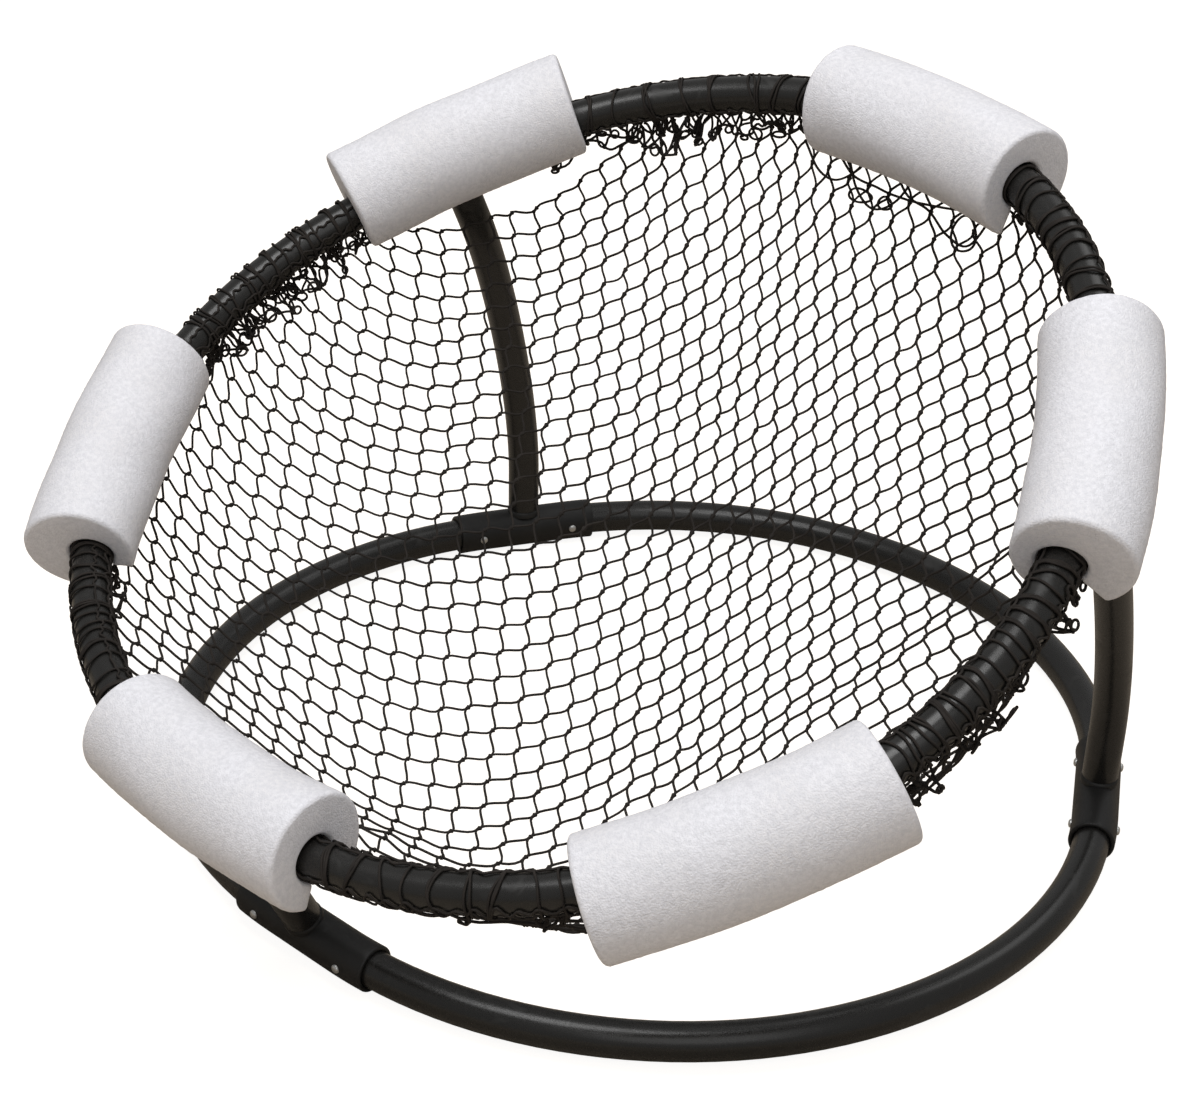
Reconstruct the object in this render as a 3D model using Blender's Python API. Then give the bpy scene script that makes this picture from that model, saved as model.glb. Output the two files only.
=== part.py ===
"""Golf target net: a slanted rim ring on three legs over a base ring, with foam sleeves and a hung net.

Metres, +Z up. The short leg stands at -Y. The origin lies on the floor, midway between the object's
front and back.
"""

import math

import bmesh
import bpy
from mathutils import Matrix, Vector

# Driving dimensions
TUBE_OD = 0.034
TUBE_WALL = 0.003
ARC_RADIUS = 0.418
TEE_STRAIGHT = 0.078
RIM_TILT = math.radians(25.4)
RIM_TURN = math.radians(-2.5)
FRONT_LEG_RISE = 0.200
LEG_PULL = 0.25

SLEEVE_WALL = 0.005
SLEEVE_LENGTH = 0.158
WEB_THICKNESS = 0.006
BOSS_PROUD = 0.002
SPIGOT_LENGTH = 0.045
SPIGOT_WALL = 0.003

RIVET_SHANK_R = 0.0025
RIVET_HEAD_R = 0.0042
RIVET_HEAD_RISE = 0.0024
RIVET_INSET = 0.026

FOAM_OD = 0.104
FOAM_LENGTH = 0.242
FOAM_BEND = 0.42
LIP_DEPTH = 0.002
MID_SLIT_INNER = 0.024
MID_SLIT_OUTER = 0.060
TEE_SLIT_OUTER = 0.062

WRAP_WALL = 0.0018
STRAND = 0.0042
NET_PITCH = 0.062
NET_TURN = math.radians(41.0)
NET_REACH = 0.96
NET_EDGE_STEP = 0.034
NET_LEAST_STEP = 0.022
LEG_DETOUR = 0.021
DETOUR_HALF = 0.018
DETOUR_BLEND = 0.040
POCKET_Y = -0.272
POCKET_Z = 0.034
NET_DROP = 0.140
NET_STEEPNESS = 0.34
NET_FLATNESS = 0.42
NET_TAUT_SPAN = 0.27
NET_TAUT_BLEND = 0.22
NET_TAUT_LEAST = 0.35

# Clearances between neighbours
FIT = 0.0003
SLIDE_FIT = 0.0009

# Facets
TUBE_SIDES = 12
BORE_SIDES = 6
ARC_STEPS = 18
LEG_STEPS = 8
FOAM_OUTER_STEPS = 14
FOAM_BORE_STEPS = 10
RIVET_SIDES = 8
CUT_OVERRUN = 0.004

# Where each sleeve sits: its push along the rim from its tee or from its tube's middle, anticlockwise,
# and how far its own axis lies outward of and above the tube's there
FOAM_SEAT = {
    "foam_sleeve_front": (-0.010, -0.002, 0.004),
    "foam_sleeve_right_front": (-0.012, 0.003, 0.003),
    "foam_sleeve_right": (-0.021, 0.005, 0.004),
    "foam_sleeve_back": (-0.039, -0.005, -0.002),
    "foam_sleeve_left": (-0.012, 0.005, 0.013),
    "foam_sleeve_left_front": (-0.002, 0.000, 0.007),
}

# Sizes that follow from those above
TUBE_R = TUBE_OD / 2
TUBE_BORE_R = TUBE_R - TUBE_WALL
SLEEVE_BORE_R = TUBE_R + FIT
SLEEVE_R = SLEEVE_BORE_R + SLEEVE_WALL
SLEEVE_FLAT = SLEEVE_R * math.cos(math.pi / TUBE_SIDES)
BOSS_TOP = SLEEVE_R + BOSS_PROUD
SPIGOT_R = TUBE_BORE_R - FIT
WRAP_BORE_R = TUBE_R + FIT
WRAP_R = WRAP_BORE_R + WRAP_WALL
RIVET_REACH = SLEEVE_FLAT + FIT + RIVET_HEAD_RISE
LEG_CHANNEL = LEG_DETOUR + STRAND / 2 + 3 * FIT
FOAM_R = FOAM_OD / 2
ARC_SWEEP = math.radians(120.0)
ARC_OFFSET = TEE_STRAIGHT / math.sqrt(3.0)
TEE_RADIUS = ARC_RADIUS + ARC_OFFSET / 2
ARC_LENGTH = ARC_RADIUS * ARC_SWEEP
THIRD = ARC_LENGTH + TEE_STRAIGHT
RIVET_AT = SLEEVE_LENGTH / 2 - RIVET_INSET
FRONT_Y = -(TEE_RADIUS + FRONT_LEG_RISE * math.sin(RIM_TILT) + FOAM_R)
BACK_Y = ARC_RADIUS + ARC_OFFSET + TUBE_R
CENTRE_X = TEE_RADIUS * math.sin(RIM_TURN) * 0.8
CENTRE_Y = -(FRONT_Y + BACK_Y) / 2
BASE_Z = SLEEVE_FLAT

X_AXIS = Vector((1.0, 0.0, 0.0))
Y_AXIS = Vector((0.0, 1.0, 0.0))
Z_AXIS = Vector((0.0, 0.0, 1.0))

BASE_FRAME = Matrix.Translation((CENTRE_X, CENTRE_Y, BASE_Z))
RIM_NORMAL = Vector((0.0, -math.sin(RIM_TILT), math.cos(RIM_TILT)))
RIM_ROTATION = Matrix.Rotation(RIM_TILT, 3, "X") @ Matrix.Rotation(RIM_TURN, 3, "Z")
FRONT_TEE = Vector((0.0, -TEE_RADIUS, 0.0))
RIM_CENTRE = BASE_FRAME @ FRONT_TEE + RIM_NORMAL * FRONT_LEG_RISE - RIM_ROTATION @ FRONT_TEE
RIM_FRAME = Matrix.Translation(RIM_CENTRE) @ RIM_ROTATION.to_4x4()

SIDE_NAMES = ("front", "right", "left")
TUBE_NAMES = ("right_front", "back", "left_front")


def clear_scene():
    """Removes every object of the startup scene."""
    for item in list(bpy.data.objects):
        bpy.data.objects.remove(item, do_unlink=True)


def make_material(name, colour, roughness, metallic=0.0):
    """Makes a Principled material."""
    material = bpy.data.materials.new(name)
    material.use_nodes = True
    shader = material.node_tree.nodes["Principled BSDF"]
    shader.inputs["Base Color"].default_value = (*colour, 1.0)
    shader.inputs["Roughness"].default_value = roughness
    shader.inputs["Metallic"].default_value = metallic
    return material


def add_object(name, mesh_data, material, parent=None, location=(0.0, 0.0, 0.0)):
    """Turns a bmesh into a named object with outward faces and smooth rounds."""
    bmesh.ops.recalc_face_normals(mesh_data, faces=mesh_data.faces)
    mesh = bpy.data.meshes.new(name)
    mesh_data.to_mesh(mesh)
    mesh_data.free()
    mesh.materials.append(material)
    mesh.shade_smooth()
    mesh.set_sharp_from_angle(angle=math.radians(35.0))
    item = bpy.data.objects.new(name, mesh)
    bpy.context.scene.collection.objects.link(item)
    item.parent = parent
    item.location = location
    return item


def add_frame(name, matrix):
    """Adds an empty that carries the pieces of one ring."""
    empty = bpy.data.objects.new(name, None)
    bpy.context.scene.collection.objects.link(empty)
    empty.matrix_world = matrix
    return empty


def hide_cutter(item):
    """Keeps a cutting tool out of the renders and of the assembly."""
    item.hide_render = True
    item.display_type = "WIRE"
    return item


def add_boolean(target, tool, operation):
    """Joins a tool to an object, or cuts it away."""
    modifier = target.modifiers.new(f"{operation.lower()}_{tool.name}", "BOOLEAN")
    modifier.operation = operation
    modifier.solver = "EXACT"
    modifier.object = tool


def polygon(radius, sides):
    """Corner points of a polygon that has a flat side towards each axis."""
    step = 2 * math.pi / sides
    return [
        (radius * math.cos(step * (i + 0.5)), radius * math.sin(step * (i + 0.5)))
        for i in range(sides)
    ]


def sweep_loop(mesh_data, stations, outlines):
    """Skins one closed outline along the stations and gives back the first and last loop of vertices."""
    rings = []
    for (centre, along_u, along_v), outline in zip(stations, outlines):
        rings.append([mesh_data.verts.new(centre + a * along_u + b * along_v) for a, b in outline])
    for near, far in zip(rings, rings[1:]):
        count = len(near)
        for i in range(count):
            j = (i + 1) % count
            mesh_data.faces.new((near[i], near[j], far[j], far[i]))
    return rings[0], rings[-1]


def close_tube_end(mesh_data, outer, inner):
    """Fills the flat end between a tube's outside and its bore, which has as many sides or half as many."""
    count = len(inner)
    halved = len(outer) == 2 * count
    for j in range(count):
        near = outer[2 * j + 1] if halved else outer[j]
        onward = outer[(2 * j + 2) % len(outer)] if halved else outer[(j + 1) % count]
        if halved:
            mesh_data.faces.new((inner[j], outer[2 * j], near))
        mesh_data.faces.new((inner[j], near, onward, inner[(j + 1) % count]))


def solid_sweep(stations, outlines):
    """A solid of one outline per station, closed by a face at each end."""
    mesh_data = bmesh.new()
    first, last = sweep_loop(mesh_data, stations, outlines)
    mesh_data.faces.new(first)
    mesh_data.faces.new(last)
    return mesh_data


def round_sweep(stations, radius, sides=TUBE_SIDES):
    """A round bar along the stations."""
    return solid_sweep(stations, [polygon(radius, sides)] * len(stations))


def tube_sweep(stations, outer_radius, bore_radius, bore_sides=BORE_SIDES):
    """An open-ended tube along the stations."""
    mesh_data = bmesh.new()
    count = len(stations)
    outer = sweep_loop(mesh_data, stations, [polygon(outer_radius, TUBE_SIDES)] * count)
    inner = sweep_loop(mesh_data, stations, [polygon(bore_radius, bore_sides)] * count)
    for outer_end, inner_end in zip(outer, inner):
        close_tube_end(mesh_data, outer_end, inner_end)
    return mesh_data


def straight_bar(start, end, radius, sides=TUBE_SIDES, across=X_AXIS):
    """A straight round bar between two points, with a flat side towards the given direction."""
    along = (end - start).normalized()
    along_u = (across - across.dot(along) * along).normalized()
    along_v = along.cross(along_u)
    return round_sweep([(start, along_u, along_v), (end, along_u, along_v)], radius, sides)


def ring_vertex_list():
    """Corner stations of the ring's centreline as (distance, centre, outward) from the front tee round."""
    corners = []
    for third in range(3):
        tee_angle = math.radians(-90.0 + 120.0 * third)
        middle = tee_angle + ARC_SWEEP / 2
        hub = ARC_OFFSET * Vector((math.cos(middle), math.sin(middle), 0.0))
        start = third * THIRD + TEE_STRAIGHT / 2
        for step in range(ARC_STEPS + 1):
            turn = ARC_SWEEP * step / ARC_STEPS
            angle = tee_angle + turn
            outward = Vector((math.cos(angle), math.sin(angle), 0.0))
            corners.append((start + ARC_RADIUS * turn, hub + ARC_RADIUS * outward, outward))
    last, first = corners[-1], corners[0]
    before = (last[0] - 3 * THIRD, last[1], last[2])
    after = (first[0] + 3 * THIRD, first[1], first[2])
    return [before, *corners, after]


RING_CORNERS = ring_vertex_list()


def ring_station(distance):
    """The ring's station at a distance along its centreline, on the chord between its corner stations."""
    wrapped = (distance - RING_CORNERS[0][0]) % (3 * THIRD) + RING_CORNERS[0][0]
    for near, far in zip(RING_CORNERS, RING_CORNERS[1:]):
        if wrapped <= far[0]:
            share = (wrapped - near[0]) / (far[0] - near[0])
            return near[1].lerp(far[1], share), near[2].lerp(far[2], share), Z_AXIS
    raise ValueError("the distance lies off the ring")


def ring_stretch(start, end, extra=()):
    """Stations from start to end with every corner between, and any extra distances."""
    least_step = 0.0012
    inner = list(extra)
    for turn in (-1, 0, 1):
        for corner in RING_CORNERS[1:-1]:
            place = corner[0] + turn * 3 * THIRD
            near_extra = any(abs(place - other) < least_step for other in extra)
            if start + least_step < place < end - least_step and not near_extra:
                inner.append(place)
    return [(place, ring_station(place)) for place in [start, *sorted(inner), end]]


def stations_of(stretch):
    """The stations of a stretch, without their distances."""
    return [station for _, station in stretch]


def rim_mesh_point(centre, outward, inward_by, below_by):
    """A point in the rim's frame, off its centreline by an inward and a downward distance."""
    return centre - inward_by * outward - below_by * Z_AXIS


def make_ring_tube(name, third, frame, material, rivet_cutters):
    """One bent tube from the web of one tee to the web of the next."""
    end_gap = WEB_THICKNESS / 2 + FIT
    stretch = ring_stretch(third * THIRD + end_gap, (third + 1) * THIRD - end_gap)
    mesh_data = tube_sweep(stations_of(stretch), TUBE_R, TUBE_BORE_R)
    tube = add_object(name, mesh_data, material, frame)
    for cutter in rivet_cutters:
        add_boolean(tube, cutter, "DIFFERENCE")
    return tube


def make_tee(name, third, frame, branch, material, rivet_cutters):
    """A tee: a sleeve over two tube ends with a web between them, and a hollow spigot along the branch."""
    middle = third * THIRD
    half = SLEEVE_LENGTH / 2
    centre, _, _ = ring_station(middle)
    sleeve = stations_of(ring_stretch(middle - half, middle + half))
    tee = add_object(name, round_sweep(sleeve, SLEEVE_R), material, frame)
    branch_parts = (
        ("boss", Vector(), branch * BOSS_TOP, TUBE_R, TUBE_SIDES, "UNION"),
        ("spigot", Vector(), branch * (BOSS_TOP + SPIGOT_LENGTH), SPIGOT_R, BORE_SIDES, "UNION"),
    )
    for label, start, end, radius, sides, operation in branch_parts:
        bar = straight_bar(centre + start, centre + end, radius, sides)
        tool = hide_cutter(add_object(f"{name}_{label}", bar, material, frame))
        add_boolean(tee, tool, operation)
    web = WEB_THICKNESS / 2
    for label, start, end in (
        ("bore_before", middle - half - CUT_OVERRUN, middle - web),
        ("bore_after", middle + web, middle + half + CUT_OVERRUN),
    ):
        cutter_path = stations_of(ring_stretch(start, end))
        cutter = add_object(f"{name}_{label}", round_sweep(cutter_path, SLEEVE_BORE_R), material, frame)
        add_boolean(tee, hide_cutter(cutter), "DIFFERENCE")
    hollow_start = centre + branch * BOSS_TOP
    hollow_end = centre + branch * (BOSS_TOP + SPIGOT_LENGTH + CUT_OVERRUN)
    hollow = straight_bar(hollow_start, hollow_end, SPIGOT_R - SPIGOT_WALL, BORE_SIDES)
    tool = hide_cutter(add_object(f"{name}_hollow", hollow, material, frame))
    add_boolean(tee, tool, "DIFFERENCE")
    for cutter in rivet_cutters:
        add_boolean(tee, cutter, "DIFFERENCE")
    return tee


def rivet_profile(surface):
    """Half the rivet's outline as (radius, height) from its middle to the top of its head."""
    base = surface + FIT
    dome = [
        (RIVET_HEAD_R * math.cos(turn), base + RIVET_HEAD_RISE * math.sin(turn))
        for turn in (0.0, math.radians(40.0), math.radians(70.0))
    ]
    return [(RIVET_SHANK_R, 0.0), (RIVET_SHANK_R, base), *dome], base + RIVET_HEAD_RISE


def make_rivet(name, distance, frame, material):
    """A through rivet with a domed head at both ends, along the ring's outward direction."""
    centre, outward, _ = ring_station(distance)
    along = outward.normalized()
    across = Z_AXIS.cross(along)
    half, top = rivet_profile(SLEEVE_FLAT)
    profile = [(radius, -height) for radius, height in reversed(half[1:])] + half[1:]
    stations = [(centre + height * along, across, Z_AXIS) for _, height in profile]
    outlines = [polygon(radius, RIVET_SIDES) for radius, _ in profile]
    mesh_data = bmesh.new()
    first, last = sweep_loop(mesh_data, stations, outlines)
    for loop, height in ((first, -top), (last, top)):
        tip = mesh_data.verts.new(centre + height * along)
        for a, b in zip(loop, loop[1:] + loop[:1]):
            mesh_data.faces.new((a, b, tip))
    return add_object(name, mesh_data, material, frame)


def make_rivet_cutter(name, distance, frame, material):
    """A bar that cuts a rivet's hole through the sleeve and the tube in it."""
    centre, outward, _ = ring_station(distance)
    along = outward.normalized()
    reach = SLEEVE_R + CUT_OVERRUN
    start, end = centre - reach * along, centre + reach * along
    bar = straight_bar(start, end, RIVET_SHANK_R + FIT, RIVET_SIDES, Z_AXIS.cross(along))
    return hide_cutter(add_object(name, bar, material, frame))


def leg_points(foot, top):
    """Centreline of a rear leg: upright at its foot, square to the rim at its top, bowed between."""
    lower = foot + Z_AXIS * (SPIGOT_LENGTH + FIT)
    upper = top - RIM_NORMAL * (SPIGOT_LENGTH + FIT)
    pull = LEG_PULL * (upper - lower).length
    low_guide = lower + pull * Z_AXIS
    high_guide = upper - pull * RIM_NORMAL
    points = [foot]
    for step in range(LEG_STEPS + 1):
        t = step / LEG_STEPS
        r = 1 - t
        points.append(
            r**3 * lower + 3 * t * r**2 * low_guide + 3 * t**2 * r * high_guide + t**3 * upper
        )
    return [*points, top]


def leg_stations(points):
    """Stations along a leg, whose flats turn from the base tee's to the rim tee's between the spigots."""
    rim_across = RIM_ROTATION @ X_AXIS
    free_steps = len(points) - 3
    stations = []
    for i, point in enumerate(points):
        before = points[max(i - 1, 0)]
        after = points[min(i + 1, len(points) - 1)]
        if i < 2:
            before, after = points[0], points[1]
        elif i > free_steps:
            before, after = points[-2], points[-1]
        along = (after - before).normalized()
        turned = X_AXIS.lerp(rim_across, min(max((i - 1) / free_steps, 0.0), 1.0))
        across = (turned - turned.dot(along) * along).normalized()
        stations.append((point, across, along.cross(across)))
    return stations


def make_leg(name, third, material):
    """A leg that slips over a base tee's spigot and a rim tee's spigot."""
    tee_centre, _, _ = ring_station(third * THIRD)
    foot_centre = BASE_FRAME @ tee_centre
    top_centre = RIM_FRAME @ tee_centre
    seat = BOSS_TOP + FIT
    top = top_centre - seat * RIM_NORMAL
    if third == 0:
        foot = foot_centre + seat * RIM_NORMAL
        spigot = (SPIGOT_LENGTH + FIT) * RIM_NORMAL
        points = [foot, foot + spigot, top - spigot, top]
    else:
        points = leg_points(foot_centre + seat * Z_AXIS, top)
    return add_object(name, tube_sweep(leg_stations(points), TUBE_R, TUBE_BORE_R), material)


def foam_bend(name, middle):
    """The point that a sleeve's own gentle bend turns about, and the radius of that bend."""
    along, out_by, _ = FOAM_SEAT[name]
    centre, outward, _ = ring_station(middle + along)
    radius = ARC_RADIUS / FOAM_BEND
    return centre + (out_by - radius) * outward.normalized(), radius


def foam_end(start, pivot, radius, way):
    """Distance along the ring at which the tube leaves a sleeve's end face."""
    first = ring_station(start)[0] - pivot
    inside, outside = 0.0, FOAM_LENGTH
    for _ in range(40):
        tried = (inside + outside) / 2
        away = ring_station(start + way * tried)[0] - pivot
        if away.angle(first) * radius < FOAM_LENGTH / 2:
            inside = tried
        else:
            outside = tried
    return start + way * inside


def foam_outline(clear_radius, inner_half, outer_half, lean, out_by, up_by):
    """Outline of a slit sleeve, as (outward, up) points about the tube's axis, with its slit facing down.

    The bore's flats lie at the clear radius. The sleeve's own axis lies outward and up by the two last
    distances. The lean widens the bore where the outline crosses the tube aslant.
    """
    bore_start = -math.acos(min(inner_half / clear_radius, 1.0))
    bore_step = (math.pi - 2 * bore_start) / FOAM_BORE_STEPS
    bore_radius = clear_radius / math.cos(bore_step / 2)
    outer_start = -math.acos((outer_half - out_by) / FOAM_R)
    outer_end = math.pi + math.acos((outer_half + out_by) / FOAM_R)
    outer_step = (outer_end - outer_start) / FOAM_OUTER_STEPS
    outer = [outer_start + outer_step * i for i in range(FOAM_OUTER_STEPS + 1)]
    lip_height = bore_radius * math.sin(bore_start) - LIP_DEPTH
    bore = [math.pi - bore_start - bore_step * i for i in range(FOAM_BORE_STEPS + 1)]
    points = [(out_by + FOAM_R * math.cos(angle), up_by + FOAM_R * math.sin(angle)) for angle in outer]
    points.append((-inner_half * lean, lip_height))
    points += [(lean * bore_radius * math.cos(angle), bore_radius * math.sin(angle)) for angle in bore]
    points.append((inner_half * lean, lip_height))
    return points


def foam_loft(name, middle, extra, halves_at):
    """Stations and outlines of a sleeve, each square to the sleeve's own bend."""
    pivot, radius = foam_bend(name, middle)
    along, _, up_by = FOAM_SEAT[name]
    first = foam_end(middle + along, pivot, radius, -1)
    last = foam_end(middle + along, pivot, radius, 1)
    stations, outlines = [], []
    for distance, (centre, outward, up) in ring_stretch(first, last, extra):
        away = centre - pivot
        across = away.normalized()
        lean = 1 / across.dot(outward.normalized())
        stations.append((centre, across, up))
        outlines.append(foam_outline(*halves_at(distance), lean, radius - away.length, up_by))
    return stations, outlines


def make_tee_foam(name, third, frame, material):
    """A sleeve pushed over a rim tee, its slit spread by the leg, and closed on the tube at both ends."""
    middle = third * THIRD
    mouth = SLEEVE_LENGTH / 2 + FIT
    step = 0.0012
    lips = (middle - mouth - step, middle - mouth, middle + mouth, middle + mouth + step)

    def halves_at(distance):
        if abs(distance - middle) < mouth + step / 2:
            return RIVET_REACH + FIT, LEG_CHANNEL, TEE_SLIT_OUTER / 2
        return WRAP_R + FIT, MID_SLIT_INNER / 2, TEE_SLIT_OUTER / 2

    stations, outlines = foam_loft(name, middle, lips, halves_at)
    return add_object(name, solid_sweep(stations, outlines), material, frame)


def make_mid_foam(name, third, frame, material):
    """A sleeve on plain tube, with its origin on the axis of the tube's bend, about which it slides."""
    turn = math.radians(-30.0 + 120.0 * third)
    hub = ARC_OFFSET * Vector((math.cos(turn), math.sin(turn), 0.0))

    def halves_at(distance):
        return WRAP_R + SLIDE_FIT, MID_SLIT_INNER / 2, MID_SLIT_OUTER / 2

    ring_stations, outlines = foam_loft(name, (third + 0.5) * THIRD, (), halves_at)
    stations = [(centre - hub, across, up) for centre, across, up in ring_stations]
    return add_object(name, solid_sweep(stations, outlines), material, frame, hub)


def smooth_step(value):
    """A soft change from 0 to 1."""
    bounded = min(max(value, 0.0), 1.0)
    return bounded * bounded * (3 - 2 * bounded)


def edge_drop(distance):
    """How far the net's edge lies inward of and below the rim's centreline at a distance along it."""
    clear = STRAND / 2 + FIT
    from_tee = abs((distance + THIRD / 2) % THIRD - THIRD / 2)
    inward = LEG_DETOUR * (1 - smooth_step((from_tee - DETOUR_HALF) / DETOUR_BLEND))
    past_mouth = smooth_step((from_tee - SLEEVE_LENGTH / 2 - STRAND) / DETOUR_BLEND)
    return inward, clear + SLEEVE_R + (WRAP_R - SLEEVE_R) * past_mouth


def make_net_wrap(name, third, frame, material):
    """The net's edge where it is wound round one rim tube, from one tee's mouth to the next."""
    mouth = SLEEVE_LENGTH / 2 + FIT
    stretch = ring_stretch(third * THIRD + mouth, (third + 1) * THIRD - mouth)
    mesh_data = tube_sweep(stations_of(stretch), WRAP_R, WRAP_BORE_R, TUBE_SIDES)
    return add_object(name, mesh_data, material, frame)


def net_edge_points(count):
    """Points of the net's edge in the rim's frame, evenly spread round the rim."""
    points = []
    for i in range(count):
        distance = 3 * THIRD * i / count
        centre, outward, _ = ring_station(distance)
        points.append(rim_mesh_point(centre, outward, *edge_drop(distance)))
    return points


def edge_crossing(edge, pocket, direction):
    """The edge's point in a direction from the pocket, seen along the rim's normal."""
    for a, b in zip(edge, edge[1:] + edge[:1]):
        near, far = a - pocket, b - pocket
        turn_near = direction.x * near.y - direction.y * near.x
        turn_far = direction.x * far.y - direction.y * far.x
        if turn_near <= 0.0 < turn_far and direction.dot(far) > 0.0:
            return a.lerp(b, turn_near / (turn_near - turn_far))
    raise ValueError("the edge doesn't go round the pocket")


def net_point(edge_point, pocket, share):
    """A point of the hanging net, from the pocket (0) to the edge (1).

    The net is pulled taut where the edge is near the pocket, and sags more the farther they are apart.
    """
    span = edge_point - pocket
    level = Vector((span.x, span.y, 0.0))
    loose = smooth_step((span.length - NET_TAUT_SPAN) / NET_TAUT_BLEND)
    steep = edge_point - RIM_NORMAL * min(NET_DROP, NET_STEEPNESS * span.length) * loose
    flat = pocket + NET_FLATNESS * (NET_TAUT_LEAST + (1 - NET_TAUT_LEAST) * loose) * level
    t = 1 - share
    return (
        (1 - t) ** 3 * edge_point
        + 3 * t * (1 - t) ** 2 * steep
        + 3 * t * t * (1 - t) * flat
        + t**3 * pocket
    )


def make_net(name, material):
    """The hanging net: square meshes laid over the bowl and made strands by a Wireframe modifier."""
    edge = net_edge_points(360)
    pocket_world = Vector((CENTRE_X, CENTRE_Y + POCKET_Y, POCKET_Z))
    pocket = RIM_FRAME.inverted() @ pocket_world
    reach = int(2 * ARC_RADIUS / NET_PITCH) + 1
    mesh_data = bmesh.new()
    bmesh.ops.create_grid(mesh_data, x_segments=2 * reach, y_segments=2 * reach, size=reach * NET_PITCH)
    bmesh.ops.rotate(
        mesh_data, verts=mesh_data.verts, cent=(0.0, 0.0, 0.0), matrix=Matrix.Rotation(NET_TURN, 3, "Z")
    )
    flat_pocket = Vector((pocket.x, pocket.y, 0.0))

    def share_of(place):
        away = place - flat_pocket
        if away.length < 1e-6:
            return None, 0.0
        crossing = edge_crossing(edge, pocket, away.normalized())
        reach_there = (Vector((crossing.x, crossing.y, 0.0)) - flat_pocket).length
        return crossing, away.length / reach_there

    def drape(vertex, on_edge):
        crossing, share = share_of(vertex.co.copy())
        if crossing is None:
            return pocket_world
        return net_point(RIM_FRAME @ crossing, pocket_world, 1.0 if on_edge else share)

    outside = [face for face in mesh_data.faces if share_of(face.calc_center_median())[1] > NET_REACH]
    bmesh.ops.delete(mesh_data, geom=outside, context="FACES")
    loose_cells = [face for face in mesh_data.faces if sum(line.is_boundary for line in face.edges) > 2]
    bmesh.ops.delete(mesh_data, geom=loose_cells, context="FACES")
    for vertex in mesh_data.verts:
        if vertex.is_boundary:
            crossing, _ = share_of(vertex.co.copy())
            vertex.co = crossing.copy()
            vertex.co.z = 0.0
    rim_points = [vertex for vertex in mesh_data.verts if vertex.is_boundary]
    bmesh.ops.remove_doubles(mesh_data, verts=rim_points, dist=NET_LEAST_STEP)
    flat_cells = [face for face in mesh_data.faces if all(vertex.is_boundary for vertex in face.verts)]
    bmesh.ops.delete(mesh_data, geom=flat_cells, context="FACES")
    for cuts in (3, 2, 1):
        long_edges = [
            line
            for line in mesh_data.edges
            if line.is_boundary and line.calc_length() > (cuts + 0.3) * NET_EDGE_STEP
        ]
        bmesh.ops.subdivide_edges(mesh_data, edges=long_edges, cuts=cuts)
    places = [(vertex, drape(vertex, vertex.is_boundary)) for vertex in mesh_data.verts]
    for vertex, place in places:
        vertex.co = place
    net = add_object(name, mesh_data, material)
    strands = net.modifiers.new("strands", "WIREFRAME")
    strands.thickness = STRAND
    strands.use_even_offset = False
    strands.use_boundary = True
    strands.use_replace = True
    return net


def main():
    """Builds the base ring, the legs, the rim ring, the foam sleeves and the net."""
    clear_scene()
    tube_plastic = make_material("black_tube", (0.020, 0.021, 0.023), 0.42)
    tee_plastic = make_material("black_tee", (0.018, 0.018, 0.019), 0.5)
    rivet_metal = make_material("rivet_metal", (0.62, 0.62, 0.60), 0.38, 0.8)
    foam = make_material("white_foam", (0.86, 0.86, 0.89), 0.75)
    twine = make_material("black_twine", (0.016, 0.016, 0.017), 0.8)
    base_frame = add_frame("base_ring_frame", BASE_FRAME)
    rim_frame = add_frame("rim_ring_frame", RIM_FRAME)
    rim_upright = (RIM_FRAME.to_3x3().inverted() @ -RIM_NORMAL).normalized()

    for ring, frame in (("base", base_frame), ("rim", rim_frame)):
        cutters = {}
        for third in range(3):
            for label, side in (("a", -1), ("b", 1)):
                distance = third * THIRD + side * RIVET_AT
                site = f"{ring}_rivet_{SIDE_NAMES[third]}_{label}"
                make_rivet(site, distance, frame, rivet_metal)
                cutters[third, label] = make_rivet_cutter(f"{site}_hole", distance, frame, rivet_metal)
        for third in range(3):
            if ring == "rim":
                branch = rim_upright
            else:
                branch = RIM_NORMAL if third == 0 else Z_AXIS
            tee_cutters = [cutters[third, "a"], cutters[third, "b"]]
            make_tee(f"{ring}_tee_{SIDE_NAMES[third]}", third, frame, branch, tee_plastic, tee_cutters)
            tube_cutters = [cutters[third, "b"], cutters[(third + 1) % 3, "a"]]
            make_ring_tube(f"{ring}_tube_{TUBE_NAMES[third]}", third, frame, tube_plastic, tube_cutters)

    for third in range(3):
        make_leg(f"leg_{SIDE_NAMES[third]}", third, tube_plastic)
        make_tee_foam(f"foam_sleeve_{SIDE_NAMES[third]}", third, rim_frame, foam)
        make_mid_foam(f"foam_sleeve_{TUBE_NAMES[third]}", third, rim_frame, foam)
        make_net_wrap(f"net_wrap_{TUBE_NAMES[third]}", third, rim_frame, twine)
    make_net("net", twine)


main()
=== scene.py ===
"""Looks of the golf target net: rings and legs of black tube, foam sleeves, and a hung twine net.

Every size is in metres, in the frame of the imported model, with +Z up. Distance along a ring runs
anticlockwise from its front tee, and a tube is numbered by the tee that it starts from.
"""

import logging
import math
from dataclasses import dataclass

import bpy
import numpy as np
from mathutils import Matrix, Vector
from mathutils.bvhtree import BVHTree
from numpy.linalg import norm

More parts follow.
